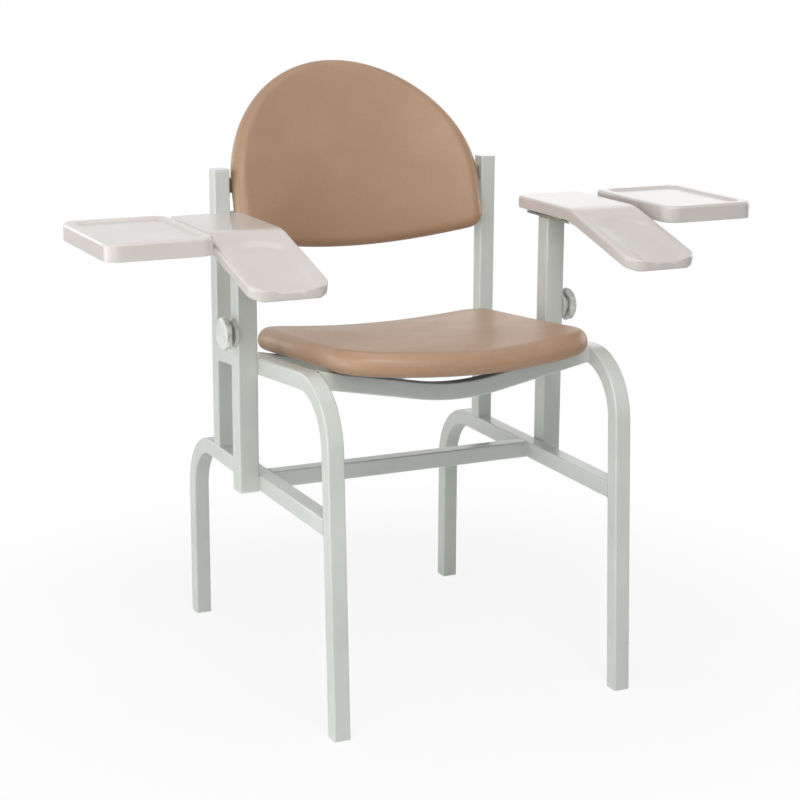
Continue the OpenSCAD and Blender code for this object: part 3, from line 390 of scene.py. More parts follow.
# Air pressure and shrinking draw the cover tight. No point moves further than the cap, and the
# moves are evened out over the points beside them, so that the rolled edge stays smooth.
cloth = {"quality": 6, "mass": 0.25, "pressure": 4.0, "tension": 60.0, "bending": 30.0, "shrink": 0.04,
         "cap": 0.002, "settle": 24, "frames": 20}


def inflate(piece, held, values):
    before = np.array([v.co for v in piece.data.vertices])
    group = piece.vertex_groups.new(name="held")
    group.add(held, 1.0, "REPLACE")
    sim = piece.modifiers.new("Cloth", "CLOTH")
    settings = sim.settings
    settings.quality, settings.mass = values["quality"], values["mass"]
    settings.tension_stiffness = settings.compression_stiffness = values["tension"]
    settings.shear_stiffness = values["tension"] / 2
    settings.bending_stiffness = values["bending"]
    settings.shrink_min = values["shrink"]
    settings.use_pressure = True
    settings.uniform_pressure_force = values["pressure"]
    settings.vertex_group_mass = group.name
    settings.effector_weights.gravity = 0
    sim.point_cache.frame_start, sim.point_cache.frame_end = 1, values["frames"]
    for step in range(1, values["frames"] + 1):
        scene.frame_set(step)
    shape = piece.evaluated_get(bpy.context.evaluated_depsgraph_get()).to_mesh()
    after = np.array([v.co for v in shape.vertices])
    piece.modifiers.remove(sim)
    piece.vertex_groups.clear()
    scene.frame_set(1)
    move = after - before
    size = np.linalg.norm(move, axis=1)[:, None]
    move *= np.minimum(1.0, values["cap"] / np.maximum(size, 1e-9))
    ends = np.array([e.vertices for e in piece.data.edges])
    count = np.bincount(ends.ravel(), minlength=len(move))[:, None]
    for _ in range(values["settle"]):
        near = np.zeros_like(move)
        np.add.at(near, ends[:, 0], move[ends[:, 1]])
        np.add.at(near, ends[:, 1], move[ends[:, 0]])
        move[:held[0]] = (near / count)[:held[0]]
    piece.data.vertices.foreach_set("co", (before + move).ravel())
    piece.data.update()
    print(piece.name, "pulled by", round(float(size.max()) * 1000, 1), "mm at most before the cap")


# Seat: dished from side to side, level with the falling rails
seat = {"half": 0.1633, "low": 0.0255, "high": 0.3195, "corner": 0.0305, "frontSwell": 0.030,
        "backSwell": 0.008, "roll": 0.0155, "crown": 0.0025, "square": 2.1, "rise": 0.014, "dish": 1.430,
        "tilt": 4.75, "cornerY": -0.23108, "cornerZ": 0.438, "centre": (0, 0.1725), "boardInset": 0.024,
        "board": 0.010, "gap": 0.0003, "cornerSteps": 24, "sideSteps": 60, "netSteps": 56, "rollSteps": 14}


def seatLine(v):
    half, low, high, r = v["half"], v["low"], v["high"], v["corner"]
    bend, run = v["cornerSteps"], v["sideSteps"]
    raw = (arc(half - r, low + r, r, -90, 90, bend) + between((half, low + r), (half, high - r), run)
           + arc(half - r, high - r, r, 0, 90, bend) + between((half - r, high), (r - half, high), run)
           + arc(r - half, high - r, r, 90, 90, bend) + between((-half, high - r), (-half, low + r), run)
           + arc(r - half, low + r, r, 180, 90, bend) + between((r - half, low), (half - r, low), run))
    line = []
    for x, y in raw:
        bow, up = 1 - (x / half) ** 2, (y - low) / (high - low)
        line.append((x, y - v["frontSwell"] * bow * (1 - up) ** 2 + v["backSwell"] * bow * up ** 2))
    quarter, middle = bend + run, bend // 2
    return line, [middle + 3 * quarter, middle, middle + quarter, middle + 2 * quarter]


tilted = (Matrix.Translation((0, seat["cornerY"], seat["cornerZ"]))
          @ Matrix.Rotation(math.radians(-seat["tilt"]), 4, "X"))


def onSeat(point, height):
    turn = math.asin(point[0] / seat["dish"])
    return tilted @ Vector((point[0] - height * math.sin(turn), point[1],
                            seat["rise"] + seat["dish"] * (1 - math.cos(turn)) + height * math.cos(turn)))


def seatFlat(point, height):
    turn = math.asin(point[0] / seat["dish"])
    return (point[0] - height * math.sin(turn), point[1])


def seatPocket(point, height):
    return tilted @ Vector((point[0], point[1], seat["rise"] + seat["dish"]
                            - math.sqrt((seat["dish"] - height) ** 2 - point[0] ** 2)))


# Back: bent round the sitter and leaning away towards its top
back = {"half": 0.1701, "low": 0.569, "corner": 0.007, "shoulder": 0.630, "rise": 0.144, "bottomSwell": 0.020,
        "roll": 0.013, "crown": 0.0025, "square": 2.1, "across": 0.432, "upRadius": 0.633, "uprightZ": 0.456,
        "midY": 0.1664, "referenceZ": 0.600, "centre": (0, 0.6715), "boardInset": 0.024, "board": 0.010,
        "gap": 0.0003, "cornerSteps": 24, "sideSteps": 12, "bottomSteps": 60, "domeSteps": 160,
        "domeCorners": (52, 108), "netSteps": 56, "rollSteps": 14}
backAxis = back["midY"] - back["across"]
backRing = back["across"] + math.sqrt(back["upRadius"] ** 2 - (back["referenceZ"] - back["uprightZ"]) ** 2)


def backReach(z, height):
    return backRing - math.sqrt((back["upRadius"] + height) ** 2 - (z - back["uprightZ"]) ** 2)


def onBack(point, height):
    reach = backReach(point[1], 0)
    turn = math.asin(point[0] / reach)
    lean = math.asin((point[1] - back["uprightZ"]) / back["upRadius"])
    out = reach - height * math.cos(lean)
    return Vector((out * math.sin(turn), backAxis + out * math.cos(turn), point[1] + height * math.sin(lean)))


def backFlat(point, height):
    p = onBack(point, height)
    return (p[0], p[2])


def backPocket(point, height):
    return Vector((point[0], backAxis + math.sqrt(backReach(point[1], height) ** 2 - point[0] ** 2), point[1]))


def backLine(v):
    half, low, r, shoulder, rise = v["half"], v["low"], v["corner"], v["shoulder"], v["rise"]
    bend, run, dome = v["cornerSteps"], v["bottomSteps"], v["domeSteps"]
    line = arc(half - r, low + r, r, -90, 90, bend) + between((half, low + r), (half, shoulder), v["sideSteps"])
    first = len(line)
    line += [(half * math.cos(math.pi * i / dome), shoulder + rise * math.sin(math.pi * i / dome))
             for i in range(dome + 1)]
    line += between((-half, shoulder), (-half, low + r), v["sideSteps"])
    line += arc(r - half, low + r, r, 180, 90, bend)
    line += [(x, y - v["bottomSwell"] * (1 - (x / (half - r)) ** 2))
             for x, y in between((r - half, low), (half - r, low), run)]
    return line, [len(line) - run - bend // 2, bend // 2] + [first + k for k in v["domeCorners"]]


# Hem of the cover, turned over the edge of the board and stapled, with small pleats at the corners
hem = {"width": 0.015, "thickness": 0.0009, "wave": 0.0012, "waves": 31, "pleat": 0.0006, "pleats": 84,
       "pleatReach": 6, "pleatStart": 60, "lap": 0.0002, "soft": 0.0004,
       "stapleStep": 0.021, "stapleInset": 0.006, "stapleLength": 0.0095, "wire": 0.0007}
hemFinish = makeLeatherette("coverBack", coverBack)


def makeHem(name, values, inner, pocketPlace):
    centre, count, reach = np.array(values["centre"]), len(inner), hem["pleatReach"]
    points, faces, staples = [], [], []
    travelled = 0.0

    def hemPoint(p, inset, rise):
        return pocketPlace(centre + (p - centre) * (1 - inset / values["half"]), -values["roll"] - rise)

    for k, p in enumerate(inner):
        before, after = inner[k - 1], inner[(k + 1) % count]
        near, far = after - before, inner[(k + reach) % count] - inner[k - reach]
        bend = 1 - float(np.dot(near, far) / np.linalg.norm(near) / np.linalg.norm(far))
        pleat = (hem["pleat"] * min(1.0, bend * hem["pleatStart"])
                 * (0.5 + 0.5 * math.sin(hem["pleats"] * math.tau * k / count)))
        width = hem["width"] + hem["wave"] * math.sin(hem["waves"] * math.tau * k / count)
        thick = hem["thickness"]
        points += [hemPoint(p, inset, rise) for inset, rise in (
            (-hem["lap"], 0.0), (hem["lap"] * 1.5, thick + pleat), (width - hem["soft"], thick),
            (width, 0.0001))]
        travelled += float(np.linalg.norm(p - before))
        if travelled > hem["stapleStep"]:
            travelled = 0.0
            at, rise = hem["stapleInset"], thick + pleat
            spot = hemPoint(p, at, rise)
            along = (hemPoint(after, at, rise) - hemPoint(before, at, rise)).normalized()
            staples.append((spot, (hemPoint(p, at, rise + 0.001) - spot).normalized(), along))
    for k in range(count):
        a, b = 4 * k, 4 * ((k + 1) % count)
        faces += [(a + m, b + m, b + (m + 1) % 4, a + (m + 1) % 4) for m in range(4)]
    strip = makePiece(name, points, faces, hemFinish)
    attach(strip, "frame")
    return staples


print("cushion shapes ready")
stapleSpots = []
for name, values, (line, corners), place, flatPlace, pocketPlace, node in (
        ("seatCover", seat, seatLine(seat), onSeat, seatFlat, seatPocket, "seat_cushion"),
        ("backCover", back, backLine(back), onBack, backFlat, backPocket, "back_cushion")):
    start = corners[0] % len(line)
    line = line[start:] + line[:start]
    corners = [(c - start) % len(line) for c in corners]
    cover, held, inner = makeCushion(name, values, line, corners, place, flatPlace, pocketPlace,
                                     finishes["upholstery"])
    inflate(cover, held, cloth)
    finer = cover.modifiers.new("Subdivision", "SUBSURF")
    finer.levels = finer.render_levels = 1
    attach(cover, "frame")
    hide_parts(node)
    stapleSpots += makeHem(name.replace("Cover", "Hem"), values, inner, pocketPlace)
print("cushions made")


# Closed shell of a first point, rings that all run anticlockwise seen from it, and a last point
def shell(first, rings, last):
    count = len(rings[0])
    points = [first] + [p for ring in rings for p in ring] + [last]
    faces = [(0, 1 + i, 1 + (i + 1) % count) for i in range(count)]
    for j in range(len(rings) - 1):
        for i in range(count):
            a, b = 1 + j * count + i, 1 + j * count + (i + 1) % count
            faces.append((a, a + count, b + count, b))
    end, low = len(points) - 1, 1 + (len(rings) - 1) * count
    faces += [(end, low + (i + 1) % count, low + i) for i in range(count)]
    return points, faces


# The same with one flat face at each end
def cappedShell(rings):
    count = len(rings[0])
    points, faces = shell(rings[0][0], rings, rings[-1][0])
    faces = [tuple(i - 1 for i in face) for face in faces[count:-count]]
    faces += [tuple(range(count)), tuple(range(len(rings) * count - 1, (len(rings) - 1) * count - 1, -1))]
    return points[1:-1], faces


def joined(*parts):
    points, faces = [], []
    for somePoints, someFaces in parts:
        start = len(points)
        points += list(somePoints)
        faces += [tuple(start + i for i in face) for face in someFaces]
    return points, faces


def moved(part, x, y, z):
    return [(p[0] + x, p[1] + y, p[2] + z) for p in part[0]], part[1]


def mirrored(part):
    return [(-p[0], p[1], p[2]) for p in part[0]], [tuple(reversed(face)) for face in part[1]]


def lathe(profile, steps=32):
    rings = [[(r * math.cos(math.tau * i / steps), r * math.sin(math.tau * i / steps), z) for i in range(steps)]
             for r, z in profile[1:-1]]
    return shell((0, 0, profile[0][1]), rings, (0, 0, profile[-1][1]))


# The same piece on both sides of the chair, on the bodies named for each side
def bothSides(name, part, slot, body, node):
    pieces = []
    for side in ("left", "right"):
        points, faces = mirrored(part) if side == "left" else part
        piece = makePiece(side + name, points, faces, finishes[slot])
        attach(piece, side + "_" + body)
        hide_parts(side + "_" + node)
        pieces.append(piece)
    return pieces


# Arm pad: firm skinned foam, level behind and falling to the front, with a trough for the forearm
pad = {"x": 0.2525, "rear": 0.058, "under": 0.593, "thick": 0.017, "tipThick": 0.0155, "half": 0.0505,
       "flat": 0.1345, "front": 0.151, "fall": 16.0, "elbow": 0.092, "rearCorner": 0.012, "tipCorner": 0.024,
       "edge": 0.0038, "lowEdge": 0.003, "endEdge": 0.0026, "edgeSteps": 6, "across": 44, "belowSteps": 6,
       "trough": 0.0038, "troughSide": 0.0075, "troughStart": 0.012, "troughOval": 0.040, "troughSoft": 0.5,
       "troughSmile": 0.75, "stations": (16, 11, 13, 57, 22)}
padArc = pad["elbow"] * math.radians(pad["fall"])
padLength = pad["flat"] + padArc + pad["front"]


# Rises from 0 to 1 without a corner at either end
def smoothStep(v):
    v = max(0.0, min(1.0, v))
    return v * v * (3 - 2 * v)


# A size that grows over a quarter circle from the end of the pad
def endRound(size, radius, d):
    return size if d >= radius else size - radius + math.sqrt(max(0.0, radius ** 2 - (radius - d) ** 2))


def padTrough(l, x, half):
    start = pad["flat"] + padArc + pad["troughStart"]
    back = max(0.0, 1 - (l - start) / pad["troughOval"])
    inside = 1 - math.hypot(x / max(0.004, half - pad["troughSide"]), back)
    return pad["trough"] * smoothStep(inside / pad["troughSoft"])


def padRing(l):
    v = pad
    tip = padLength - l
    d, corner = (l, v["rearCorner"]) if l < tip else (tip, v["tipCorner"])
    w = endRound(v["half"], corner, d)
    thin = (v["thick"] - v["tipThick"]) * max(0.0, l - v["flat"] - padArc) / v["front"]
    t = endRound((v["thick"] - thin) / 2, v["endEdge"], d)
    e = min(v["edge"], t * 0.98)
    low = min(e, v["lowEdge"])
    turns = [math.radians(90 * i / v["edgeSteps"]) for i in range(v["edgeSteps"] + 1)]
    section = [(w - low + low * math.sin(a), -t + low - low * math.cos(a)) for a in turns]
    section += [(w - e + e * math.cos(a), t - e + e * math.sin(a)) for a in turns]
    section += [((w - e) * math.sin(math.pi / 2 * (1 - 2 * i / v["across"])), t) for i in range(1, v["across"])]
    section += [(e - w - e * math.sin(a), t - e + e * math.cos(a)) for a in turns]
    section += [(low - w - low * math.cos(a), -t + low - low * math.sin(a)) for a in turns]
    section += [((w - low) * (2 * i / v["belowSteps"] - 1), -t) for i in range(1, v["belowSteps"])]
    turn = min(math.radians(v["fall"]), max(0.0, (l - v["flat"]) / v["elbow"]))
    on = max(0.0, l - v["flat"] - padArc)
    y = min(l, v["flat"]) + v["elbow"] * math.sin(turn) + on * math.cos(turn)
    z = -v["elbow"] * (1 - math.cos(turn)) - on * math.sin(turn)
    rim = v["troughSide"] + v["troughSmile"] * (v["half"] - w)
    ring = []
    for x, up in section:
        if up > 0:
            up -= padTrough(l, x, v["half"]) * smoothStep((w - abs(x)) / rim)
        up += thin / 2
        ring.append((v["x"] + x, v["rear"] - y - up * math.sin(turn),
                     v["under"] + v["thick"] / 2 + z + up * math.cos(turn)))
    return ring


# Places of the rings along the pad: close together at the elbow and where the ends are rounded
def padStations():
    v = pad
    rear, level, elbow, slope, tip = v["stations"]
    ends = [v["rearCorner"], v["flat"], v["flat"] + padArc, padLength - v["tipCorner"]]
    places = [v["rearCorner"] * (1 - math.cos(math.pi / 2 * i / rear)) for i in range(rear + 1)]
    for start, end, steps in zip(ends, ends[1:], (level, elbow, slope)):
        places += list(np.linspace(start, end, steps + 1)[1:])
    return places + [ends[-1] + v["tipCorner"] * math.sin(math.pi / 2 * i / tip) for i in range(1, tip + 1)]


padRings = [padRing(l) for l in padStations()]
for piece in bothSides("ArmPad", cappedShell(padRings), "pad_plastic", "arm", "pad"):
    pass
print("arm pads made")


# Tray: moulded shell with a shallow recess, ribs and screw bosses below
tray = {"x": 0.380, "y": -0.060, "z": 0.593, "half": (0.068, 0.098), "height": 0.022, "corner": 0.020,
        "edge": 0.0036, "rim": 0.014, "recess": 0.003, "recessCorner": 0.012, "slope": 0.0045, "wall": 0.003,
        "foot": 0.0008, "cornerSteps": 10, "slopeSteps": 10, "edgeSteps": 8, "bossX": 0.02992, "bossY": 0.020,
        "boss": 0.0065, "bore": 0.0026, "boreDepth": 0.009, "rib": 0.0015, "ribDraft": 0.0003, "ribLow": 0.004}


def roundRing(halfX, halfY, radius, z, steps):
    ring = []
    for sx, sy, start in ((1, 1, 0), (-1, 1, 90), (-1, -1, 180), (1, -1, 270)):
        ring += [(sx * (halfX - radius) + x, sy * (halfY - radius) + y, z)
                 for x, y in arc(0, 0, radius, start, 90, steps)]
    return ring


def trayShell(v):
    h, e, rim, slope, wall, foot = (v[k] for k in ("height", "edge", "rim", "slope", "wall", "foot"))
    floor, under, start, steps = h - v["recess"], h - v["recess"] - wall, rim + slope / 2, v["slopeSteps"]
    inner = [(start + 0.001, floor)] + [(start - slope * i / steps, floor + v["recess"] * smoothStep(i / steps))
                                        for i in range(steps + 1)]
    turns = [math.pi / 2 * i / v["edgeSteps"] for i in range(v["edgeSteps"] + 1)]
    outer = [(e + 0.0012, h)] + [(e * (1 - math.sin(a)), h - e * (1 - math.cos(a))) for a in turns]
    outer += [(0, h - e - 0.001), (0, foot + 0.0008), (0, foot), (foot * 0.3, foot * 0.3), (foot, 0),
              (wall - foot, 0), (wall, foot), (wall, under - 0.002), (wall + 0.0006, under - 0.0006),
              (wall + 0.002, under)]
    rings = [(d, z, v["recessCorner"] + rim - d) for d, z in inner]
    rings += [(d, z, v["corner"] - d) for d, z in outer]
    return shell((0, 0, floor), [roundRing(v["half"][0] - d, v["half"][1] - d, r, z, v["cornerSteps"])
                                 for d, z, r in rings], (0, 0, under))


def trayRib(v, halfX, halfY, x, y):
    top, low, draft = v["height"] - v["recess"] - v["wall"] / 2, v["ribLow"], v["ribDraft"]
    thinX, thinY = (0, draft) if halfX > halfY else (draft, 0)
    rings = [[(x + sx * (halfX - cut * thinX), y + sy * (halfY - cut * thinY), z)
              for sx, sy in ((1, 1), (-1, 1), (-1, -1), (1, -1))]
             for z, cut in ((top, 0), (low + 0.0005, 0.7), (low, 1.6))]
    return shell((x, y, top), rings, (x, y, low))


def trayBoss(v, x, y):
    top = v["height"] - v["recess"] - v["wall"] / 2
    part = lathe([(0, top), (v["boss"] + 0.0006, top), (v["boss"], top - 0.003), (v["boss"] - 0.0003, 0.0004),
                  (v["boss"] - 0.0007, 0), (v["bore"] + 0.0004, 0), (v["bore"], 0.0005),
                  (v["bore"], v["boreDepth"]), (0, v["boreDepth"] + 0.0005)])
    return moved(part, x, y, 0)


inX, inY = (half - tray["wall"] / 2 for half in tray["half"])
trayPart = joined(trayShell(tray),
                  *(trayRib(tray, inX, tray["rib"] / 2, 0, sign * tray["half"][1] / 2) for sign in (1, -1)),
                  trayRib(tray, tray["rib"] / 2, inY, 0, 0),
                  *(trayBoss(tray, sign * tray["bossX"], tray["bossY"]) for sign in (1, -1)))
trayPart = moved(trayPart, tray["x"], tray["y"], tray["z"])
for piece in bothSides("TrayShell", trayPart, "tray_plastic", "arm", "tray"):
    even = piece.modifiers.new("WeightedNormal", "WEIGHTED_NORMAL")
    even.keep_sharp = True
print("trays made")


# Clamp knob: round domed face with a fine groove, finger bites in its side that open to the rear, hollow behind
knob = {"x": 0.2414, "y": -0.005, "z": 0.4645, "radius": 0.0225, "lobes": 6, "lobe": 0.0072, "notch": 0.0045,
        "head": 0.010, "hub": 0.005, "backEdge": 0.00176, "dome": 0.0011, "groove": 0.012, "grooveHalf": 0.0007,
        "grooveDepth": 0.0007, "hollow": 0.0127, "hollowDepth": 0.005, "hubRadius": 0.009, "bore": 0.00405,
        "boreDepth": 0.0095, "domeEdge": 0.0058, "biteStart": 0.0026, "biteRun": 0.0042, "lobeSteps": 14,
        "notchSteps": 10, "edgeSteps": 7, "domeSteps": 14}


def knobOutline(v):
    reach, turn = v["radius"] - v["lobe"], math.pi / v["lobes"]
    across = v["lobe"] + v["notch"]
    far = reach * math.cos(turn) + math.sqrt(across ** 2 - (reach * math.sin(turn)) ** 2)
    end = math.degrees(math.atan2(far * math.sin(turn), far * math.cos(turn) - reach))
    step = math.degrees(turn)
    line = []
    for k in range(v["lobes"]):
        cosK, sinK = math.cos(2 * turn * k), math.sin(2 * turn * k)
        run = arc(reach, 0, v["lobe"], -end, 2 * end, v["lobeSteps"])[:-1]
        run += arc(far * math.cos(turn), far * math.sin(turn), v["notch"], end + 180, -2 * (end - step),
                   v["notchSteps"])[:-1]
        line += [(x * cosK - y * sinK, x * sinK + y * cosK) for x, y in run]
    return np.array(line)


def knobPart(v):
    line = knobOutline(v)
    side = outward(line)
    angle = np.arctan2(line[:, 1], line[:, 0])
    rounded = np.stack([np.cos(angle), np.sin(angle)], axis=1)
    face, back, top, low = v["hub"] + v["head"] - v["dome"], v["hub"], v["domeEdge"], v["backEdge"]
    rings = []

    def circle(radius, z):
        rings.append([(radius * c, radius * s, z) for c, s in rounded])

    def lobed(out, z, domed=0.0, bite=1.0):
        ring = bite * (line + out * side) + (1 - bite) * (v["radius"] + out) * rounded
        far = np.linalg.norm(ring, axis=1) / v["radius"]
        rings.append([(x, y, z + domed * (1 - f * f)) for (x, y), f in zip(ring, far)])

    def domeAt(radius):
        return face + v["dome"] * (1 - (radius / v["radius"]) ** 2)

    groove, half = v["groove"], v["grooveHalf"]
    for radius in (0.003, 0.006, 0.009):
        circle(radius, domeAt(radius))
    for across, down in ((-1.7, 0), (-1.2, 0.15), (-0.6, 0.8), (0, 1), (0.6, 0.8), (1.2, 0.15), (1.7, 0)):
        radius = groove + across * half
        circle(radius, domeAt(radius) - down * v["grooveDepth"])
    for i in range(v["domeSteps"] + 1):
        turn = math.pi / 2 * i / v["domeSteps"]
        drop = top * (1 - math.cos(turn))
        share = min(1.0, max(0.0, (drop - v["biteStart"]) / v["biteRun"]))
        lobed(top * (math.sin(turn) - 1), face - drop, v["dome"] * math.cos(turn),
              math.sqrt(1 - (1 - share) ** 2))
    lobed(0.0, face - v["biteStart"] - v["biteRun"])
    for i in range(v["edgeSteps"] + 1):
        turn = math.pi / 2 * i / v["edgeSteps"]
        lobed(low * (math.cos(turn) - 1), back + low * (1 - math.sin(turn)))
    hollow, hub, bore, floor = v["hollow"], v["hubRadius"], v["bore"], back + v["hollowDepth"]
    for radius, z in ((hollow + 0.0004, back), (hollow, back + 0.0004), (hollow - 0.0003, floor - 0.0006),
                      (hollow - 0.0009, floor), (hub + 0.0007, floor), (hub + 0.0002, floor - 0.0006),
                      (hub, 0.0006), (hub - 0.0006, 0), (bore + 0.0005, 0), (bore, 0.0005),
                      (bore, v["boreDepth"])):
        circle(radius, z)
    points, faces = shell((0, 0, face + v["dome"]), rings, (0, 0, v["boreDepth"]))
    return [(v["x"] + p[2], v["y"] + p[1], v["z"] - p[0]) for p in points], faces


bothSides("KnobHead", knobPart(knob), "knob_plastic", "clamp", "knob")
print("knobs made")


# Geometry Nodes: a new tree with named inputs, and its two ends
def newTree(name, inputs):
    tree = bpy.data.node_groups.new(name, "GeometryNodeTree")
    tree.interface.new_socket("Geometry", in_out="INPUT", socket_type="NodeSocketGeometry")
    for label, kind in inputs:
        tree.interface.new_socket(label, in_out="INPUT", socket_type=kind)
    tree.interface.new_socket("Geometry", in_out="OUTPUT", socket_type="NodeSocketGeometry")
    return tree, tree.nodes.new("NodeGroupInput"), tree.nodes.new("NodeGroupOutput")


# Nodes in a row, each fed by the first output of the one before
def chain(tree, source, *steps):
    for kind, socket in steps:
        node = tree.nodes.new(kind)
        tree.links.new(source, node.inputs[socket])
        source = node.outputs[0]
        yield node


# Sets the inputs, turns the result into a plain mesh and takes the modifier away
def bake(piece, tree, values):
    modifier = piece.modifiers.new("Repeat", "NODES")
    modifier.node_group = tree
    for item in tree.interface.items_tree:
        if item.item_type == "SOCKET" and item.in_out == "INPUT" and item.name in values:
            modifier[item.identifier] = values[item.name]
    finished = bpy.data.meshes.new_from_object(piece.evaluated_get(bpy.context.evaluated_depsgraph_get()))
    finished.name = piece.name
    old = piece.data
    piece.modifiers.remove(modifier)
    piece.data = finished
    bpy.data.meshes.remove(old)
    piece.data.polygons.foreach_set("use_smooth", [True] * len(piece.data.polygons))


# A small part set on every point of a mesh, turned by the point's own attribute
def repeatTree():
    tree, source, result = newTree("partOnPoints", (("Part", "NodeSocketObject"), ("Size", "NodeSocketFloat"),
                                                    ("Finish", "NodeSocketMaterial")))
    part = tree.nodes.new("GeometryNodeObjectInfo")
    turn = tree.nodes.new("GeometryNodeInputNamedAttribute")
    turn.data_type = "FLOAT_VECTOR"
    turn.inputs["Name"].default_value = "turn"
    place, real, paint = chain(
        tree, source.outputs["Geometry"], ("GeometryNodeInstanceOnPoints", "Points"),
        ("GeometryNodeRealizeInstances", "Geometry"), ("GeometryNodeSetMaterial", "Geometry"))
    tree.links.new(source.outputs["Part"], part.inputs["Object"])
    tree.links.new(part.outputs["Geometry"], place.inputs["Instance"])
    tree.links.new(turn.outputs["Attribute"], place.inputs["Rotation"])
    tree.links.new(source.outputs["Size"], place.inputs["Scale"])
    tree.links.new(source.outputs["Finish"], paint.inputs["Material"])
    tree.links.new(paint.outputs[0], result.inputs[0])
    return tree


# Every spot is a place, the way the part's own z axis points, and the way its x axis points
def repeatPart(name, part, spots, slot, body, nodes=()):
    pattern = makePiece(name + "Pattern", *part, finishes[slot])
    mesh = bpy.data.meshes.new(name)
    mesh.from_pydata([tuple(s[0]) for s in spots], [], [])
    turns = mesh.attributes.new("turn", "FLOAT_VECTOR", "POINT")
    for item, (_, out, along) in zip(turns.data, spots):
        z = Vector(out).normalized()
        x = (Vector(along) - Vector(along).dot(z) * z).normalized()
        item.vector = Matrix((x, z.cross(x), z)).transposed().to_euler()
    piece = bpy.data.objects.new(name, mesh)
    scene.collection.objects.link(piece)
    bake(piece, onPoints, {"Part": pattern, "Size": 1.0, "Finish": finishes[slot]})
    bpy.data.objects.remove(pattern)
    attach(piece, body)
    if nodes:
        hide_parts(*nodes)
    return piece


# Button head with a hexagon socket, its shank runs down from the seat of the head
def socketScrew(v, length):
    turns = [math.tau * i / v["steps"] for i in range(v["steps"])]
    head, height, socket, depth, shank = (v[k] for k in ("head", "height", "socket", "depth", "shank"))
    sixth, low = math.pi / 3, socket * 1.35

    def hexagon(radius, z):
        wide = [radius / math.cos((a + sixth / 2) % sixth - sixth / 2) for a in turns]
        return [(r * math.cos(a), r * math.sin(a), z) for r, a in zip(wide, turns)]

    def ring(radius, z):
        return [(radius * math.cos(a), radius * math.sin(a), z) for a in turns]

    rings = [hexagon(socket * 0.98, height - depth), hexagon(socket, height - 0.0003),
             hexagon(socket * 1.06, height)]
    for i in range(v["roundSteps"] + 1):
        a = math.pi / 2 * i / v["roundSteps"]
        rings.append(ring(low + (head - low) * math.sin(a), height * (0.35 + 0.65 * math.cos(a))))
    rings += [ring(head, height * 0.12), ring(head * 0.97, 0), ring(shank, 0),
              ring(shank, -length + shank * 0.4), ring(shank * 0.7, -length)]
    return shell((0, 0, height - depth), rings, (0, 0, -length))


onPoints = repeatTree()
armScrew = {"places": ((0.2235, 0.038, 0.587), (0.2235, -0.0695, 0.587), (0.278, -0.040, 0.590),
                       (0.35008, -0.040, 0.590), (0.40992, -0.040, 0.590)),
            "head": 0.0045, "height": 0.0025, "socket": 0.0014, "depth": 0.0014, "shank": 0.0025,
            "length": 0.011, "steps": 36, "roundSteps": 6}
for side, sign in (("left", -1), ("right", 1)):
    spots = [((sign * x, y, z), (0, 0, -1), (1, 0, 0)) for x, y, z in armScrew["places"]]
    repeatPart(side + "ArmScrews", socketScrew(armScrew, armScrew["length"]), spots, "plated_steel",
               side + "_arm", [side + "_arm_screws"])

# Bolts of the cushions: in the seat bars from below, through the back strips from behind
bolt = {"head": 0.0055, "height": 0.0035, "socket": 0.002, "depth": 0.002, "shank": 0.003, "steps": 36,
        "roundSteps": 6}
seatBolt = {"x": 0.130, "places": (0.070, 0.260), "slope": 10.8, "inner": 0.188, "up": 0.0095, "length": 0.0119}
backBolt = {"x": 0.120, "rear": 0.157, "bend": 0.1885, "strip": 0.005, "heights": (0.585, 0.630),
            "slopes": (12.8, 11.7), "into": 0.006, "short": 0.002}


# Rear face of the back's board at the bolts, for a height above the floor
def boardRear(height):
    return backAxis + math.sqrt(backReach(height, 0) ** 2 - backBolt["x"] ** 2) + back["roll"]


seatSpots = []
slope = math.radians(seatBolt["slope"])
drop = (seatBolt["inner"] - seatBolt["x"]) * math.tan(slope)
for sign in (-1, 1):
    up = Vector((-sign * math.sin(slope), 0, math.cos(slope)))
    for place in seatBolt["places"]:
        spot = tilted @ (Vector((sign * seatBolt["x"], place, -drop)) + up * seatBolt["up"])
        seatSpots.append((spot, tilted.to_3x3() @ -up, (0, 1, 0)))
repeatPart("seatBoltSet", socketScrew(bolt, seatBolt["length"]), seatSpots, "plated_steel", "frame",
           ["seat_bolts"])
backSpots, longest = [], 0.0
for height, given in zip(backBolt["heights"], backBolt["slopes"]):
    run = backBolt["bend"] - backBolt["x"]
    slope = math.atan(math.tan(math.radians(given)) + (boardRear(height) - boardRear(back["referenceZ"])) / run)
    face = backBolt["rear"] + run * math.tan(slope)
    longest = max(longest, backBolt["strip"] + face - boardRear(height) + backBolt["into"])
    for sign in (-1, 1):
        out = Vector((sign * math.sin(slope), math.cos(slope), 0))
        spot = Vector((sign * backBolt["x"], face, height)) + out * backBolt["strip"]
        backSpots.append((spot, out, (0, 0, 1)))
repeatPart("backBoltSet", socketScrew(bolt, longest - backBolt["short"]), backSpots, "plated_steel", "frame",
           ["back_bolts"])

# Staples that hold the hem of the covers
w, reach = hem["wire"] / 2, hem["stapleLength"] / 2
wireTurns = [math.tau * i / 8 for i in range(8)]
stapleBends = ((1, 0.8, 2), (1, 1, 1), (0.93, 1, 0), (-0.93, 1, 0), (-1, 1, 1), (-1, 0.8, 2))
stapleRings = [[(x * reach, w * 1.4 * math.cos(a) * size, w * (1 + math.sin(a) * size) - drop * w)
                for a in wireTurns] for x, size, drop in stapleBends]
staple = shell((reach, 0, -2 * w), stapleRings, (-reach, 0, -2 * w))
repeatPart("coverStaples", staple, stapleSpots, "zinc_strip", "frame")
print("screws, bolts and staples made")

